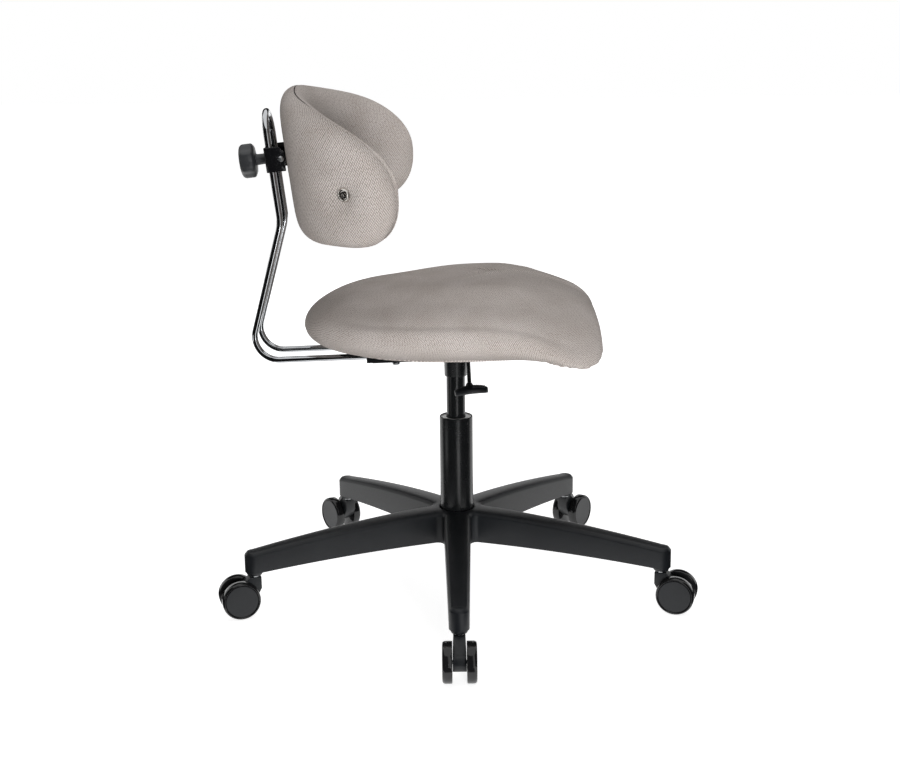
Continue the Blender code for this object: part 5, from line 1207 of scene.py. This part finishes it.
def cut_opening(bm):
    """The round opening for the bracket: both sheets lose their middle and are joined round its rim."""
    inward = BACKREST.inverted()
    lost = [vert for vert in bm.verts if hypot(*(inward @ vert.co).yz) < PAD_OPENING_RADIUS]
    bmesh.ops.delete(bm, geom=lost, context="VERTS")
    rim = [edge for edge in bm.edges if edge.is_boundary]
    for vert in {vert for edge in rim for vert in edge.verts}:
        place = inward @ vert.co
        radius = hypot(place.y, PAD_AXIS_X - place.x)
        round_rim = place.yz.normalized() * PAD_OPENING_RADIUS
        along = PAD_AXIS_X - sqrt(radius ** 2 - round_rim.x ** 2)
        vert.co = BACKREST @ Vector((along, round_rim.x, round_rim.y))
    bmesh.ops.bridge_loops(bm, edges=rim)


def pad_cover(outer):
    """A sewn cover: a round-cornered grid bent to the pad's face, joined at the seam to one that lies on the shell.

    The knit runs on over the rolled edge.
    """
    side = 1 if outer else -1
    thickness = PAD_OUTER_THICKNESS if outer else PAD_INNER_THICKNESS
    fullness = PAD_FULLNESS if outer else PAD_INNER_FULLNESS
    bm = bmesh.new()
    bmesh.ops.create_grid(bm, x_segments=PAD_CELLS[0], y_segments=PAD_CELLS[1], size=1.0)
    faces = list(bm.verts)
    copied = bmesh.ops.duplicate(bm, geom=faces + list(bm.edges) + list(bm.faces))["geom"]
    knit = {}
    for verts, front in ((faces, True), (of_kind(copied, VERT), False)):
        for vert in verts:
            across = vert.co.x * sqrt(1 - vert.co.y ** 2 / 2)
            up = vert.co.y * sqrt(1 - vert.co.x ** 2 / 2)
            angle = atan2(up, across)
            share = sin(min(hypot(across, up), 1) * pi / 2)
            edge = Vector(pad_edge(angle)) - Vector((0, PAD_MIDDLE))
            if outer:
                edge *= 1 - PAD_TIP_STEP * smooth_step((abs(cos(angle)) - 0.80) / 0.15)
            swell = sqrt(max(1 - share ** fullness, 0))
            lift = thickness * swell
            flat = share * (1 - PAD_SEAM_DEPTH * bell(lift, PAD_SEAM_WIDTH)) * edge
            distance, height = flat.x, flat.y + PAD_MIDDLE
            knit[vert] = Vector((distance, height)) + edge.normalized() * (thickness - lift)
            seam = side * seam_shift(angle)
            if front and outer:
                full = thickness * (1 - PAD_WEDGE * height / PAD_TOP) - dimple_depth(distance, height)
                offset = (full + seam) * swell - seam
            elif front:
                offset = (thickness + seam) * swell - seam
            else:
                offset = min(PAD_RECESS, 0.5 * lift) - seam * (1 - swell) ** 2
            vert.co = BACKREST @ bent(distance, height, side * (GAP / 2 + offset))
    bmesh.ops.remove_doubles(bm, verts=bm.verts, dist=0.00002)
    if outer:
        cut_opening(bm)
    layer = bm.loops.layers.uv.new("knit")
    for face in bm.faces:
        for loop in face.loops:
            loop[layer].uv = knit[loop.vert]
    return bm


def build_backrest():
    for part, outer in (("outer", True), ("inner", False)):
        name = f"backrest_{part}_cover"
        mesh = to_mesh(name, pad_cover(outer))
        x, y, z = into(BACKREST, read(mesh, "co")).T
        offset = (1 if outer else -1) * (np.hypot(y, PAD_AXIS_X - x) - SHELL_RADIUS)
        button = np.hypot(np.abs(np.arctan2(y, PAD_AXIS_X - x)) * SHELL_RADIUS - BUTTON_ANGLE * SHELL_RADIUS,
                          z - BUTTON_HEIGHT)
        held = (offset < 0.0045) | (outer & ((button < 0.014) | (np.hypot(y, z) < 0.062)))
        mesh = stuffed(name, mesh, held, PAD_PRESSURE, PAD_SWELL)
        cover = dressed(name, mesh, "backrest", "grey_fabric", f"backrest_{part}_pad", KNIT)


# Studio

def looked_at(tree, unseen, seen):
    """A strength: one value for rays of the camera, of mirrors and through glass, another for rays that carry light."""
    path = add_node(tree, "LightPath")
    value = path["Is Camera Ray"]
    for ray in ("Is Glossy Ray", "Is Transmission Ray"):
        value = add_node(tree, "Math", {0: value, 1: path[ray]}, operation="MAXIMUM")["Value"]
    return add_node(tree, "MapRange", {"Value": value, "To Min": unseen, "To Max": seen})["Result"]


def white_floor():
    """White paper: it takes the chair's shadow, and what the lamps leave grey is made up to white."""
    material, tree, shader = new_finish("white_studio_floor", {"Base Color": colour("#F4F4F4"), "Roughness": 0.9})
    glow = add_node(tree, "Emission", {"Strength": looked_at(tree, 0.0, FLOOR_GLOW)})["Emission"]
    both = add_node(tree, "AddShader", {0: shader.outputs["BSDF"], 1: glow})
    set_inputs(tree, tree.nodes["Material Output"], {"Surface": both["Shader"]})
    return material


def dark_flats():
    """Black flats round the chair that only reflections show: they keep black deep and put streaks in the chrome."""
    bm = bmesh.new()
    for start, end, outline in FLATS:
        verts, edges = drawn(bm, outline)
        place_all(bm, turn(radians(start), "Z"), verts)
        bmesh.ops.spin(bm, geom=verts + edges, axis=(0, 0, 1), angle=radians(end - start), steps=24)
    flats = holder("black_flats", to_mesh("black_flats", bm))
    flats.data.materials.append(new_finish("black_flats", {"Base Color": colour("#141414"), "Roughness": 1.0})[0])
    for kind in ("camera", "diffuse", "transmission", "shadow"):
        setattr(flats, f"visible_{kind}", False)


def build_studio():
    bm = bmesh.new()
    bmesh.ops.create_grid(bm, x_segments=2, y_segments=2, size=14.0)
    floor = holder("studio_floor", to_mesh("studio_floor", bm))
    floor.data.materials.append(white_floor())
    dark_flats()

    world = bpy.data.worlds.new("studio")
    bpy.context.scene.world = world
    world.use_nodes = True
    tree = world.node_tree
    set_inputs(tree, tree.nodes["Background"], {"Color": colour("#FFFFFF"),
                                                "Strength": looked_at(tree, WORLD_LIGHT, 1.0)})
    for name, place, aim, size, power in LAMPS:
        data = bpy.data.lights.new(name, "AREA")
        data.shape = "SQUARE"
        data.size = size
        data.energy = power
        lamp = holder(name, data)
        lamp.location = place
        lamp.rotation_euler = (Vector(aim) - Vector(place)).to_track_quat("-Z", "Y").to_euler()
        lamp.visible_glossy = False


def build_camera():
    data = bpy.data.cameras.new("photograph_camera")
    data.sensor_width = CAMERA_SENSOR
    data.sensor_fit = "HORIZONTAL"
    data.lens = CAMERA_LENS
    camera = holder("photograph_camera", data)
    camera.matrix_world = shift(*CAMERA_PLACE) @ turn(CAMERA_PITCH, "X") @ turn(CAMERA_ROLL, "Z")
    bpy.context.scene.camera = camera


bpy.context.scene.view_settings.view_transform = "Standard"
build_camera()
build_studio()
build_casters()
build_base()
build_gas_lift()
build_seat_plate()
build_back_bar()
build_lever()
build_slider()
build_buttons()
build_pan()
build_seat()
build_backrest()
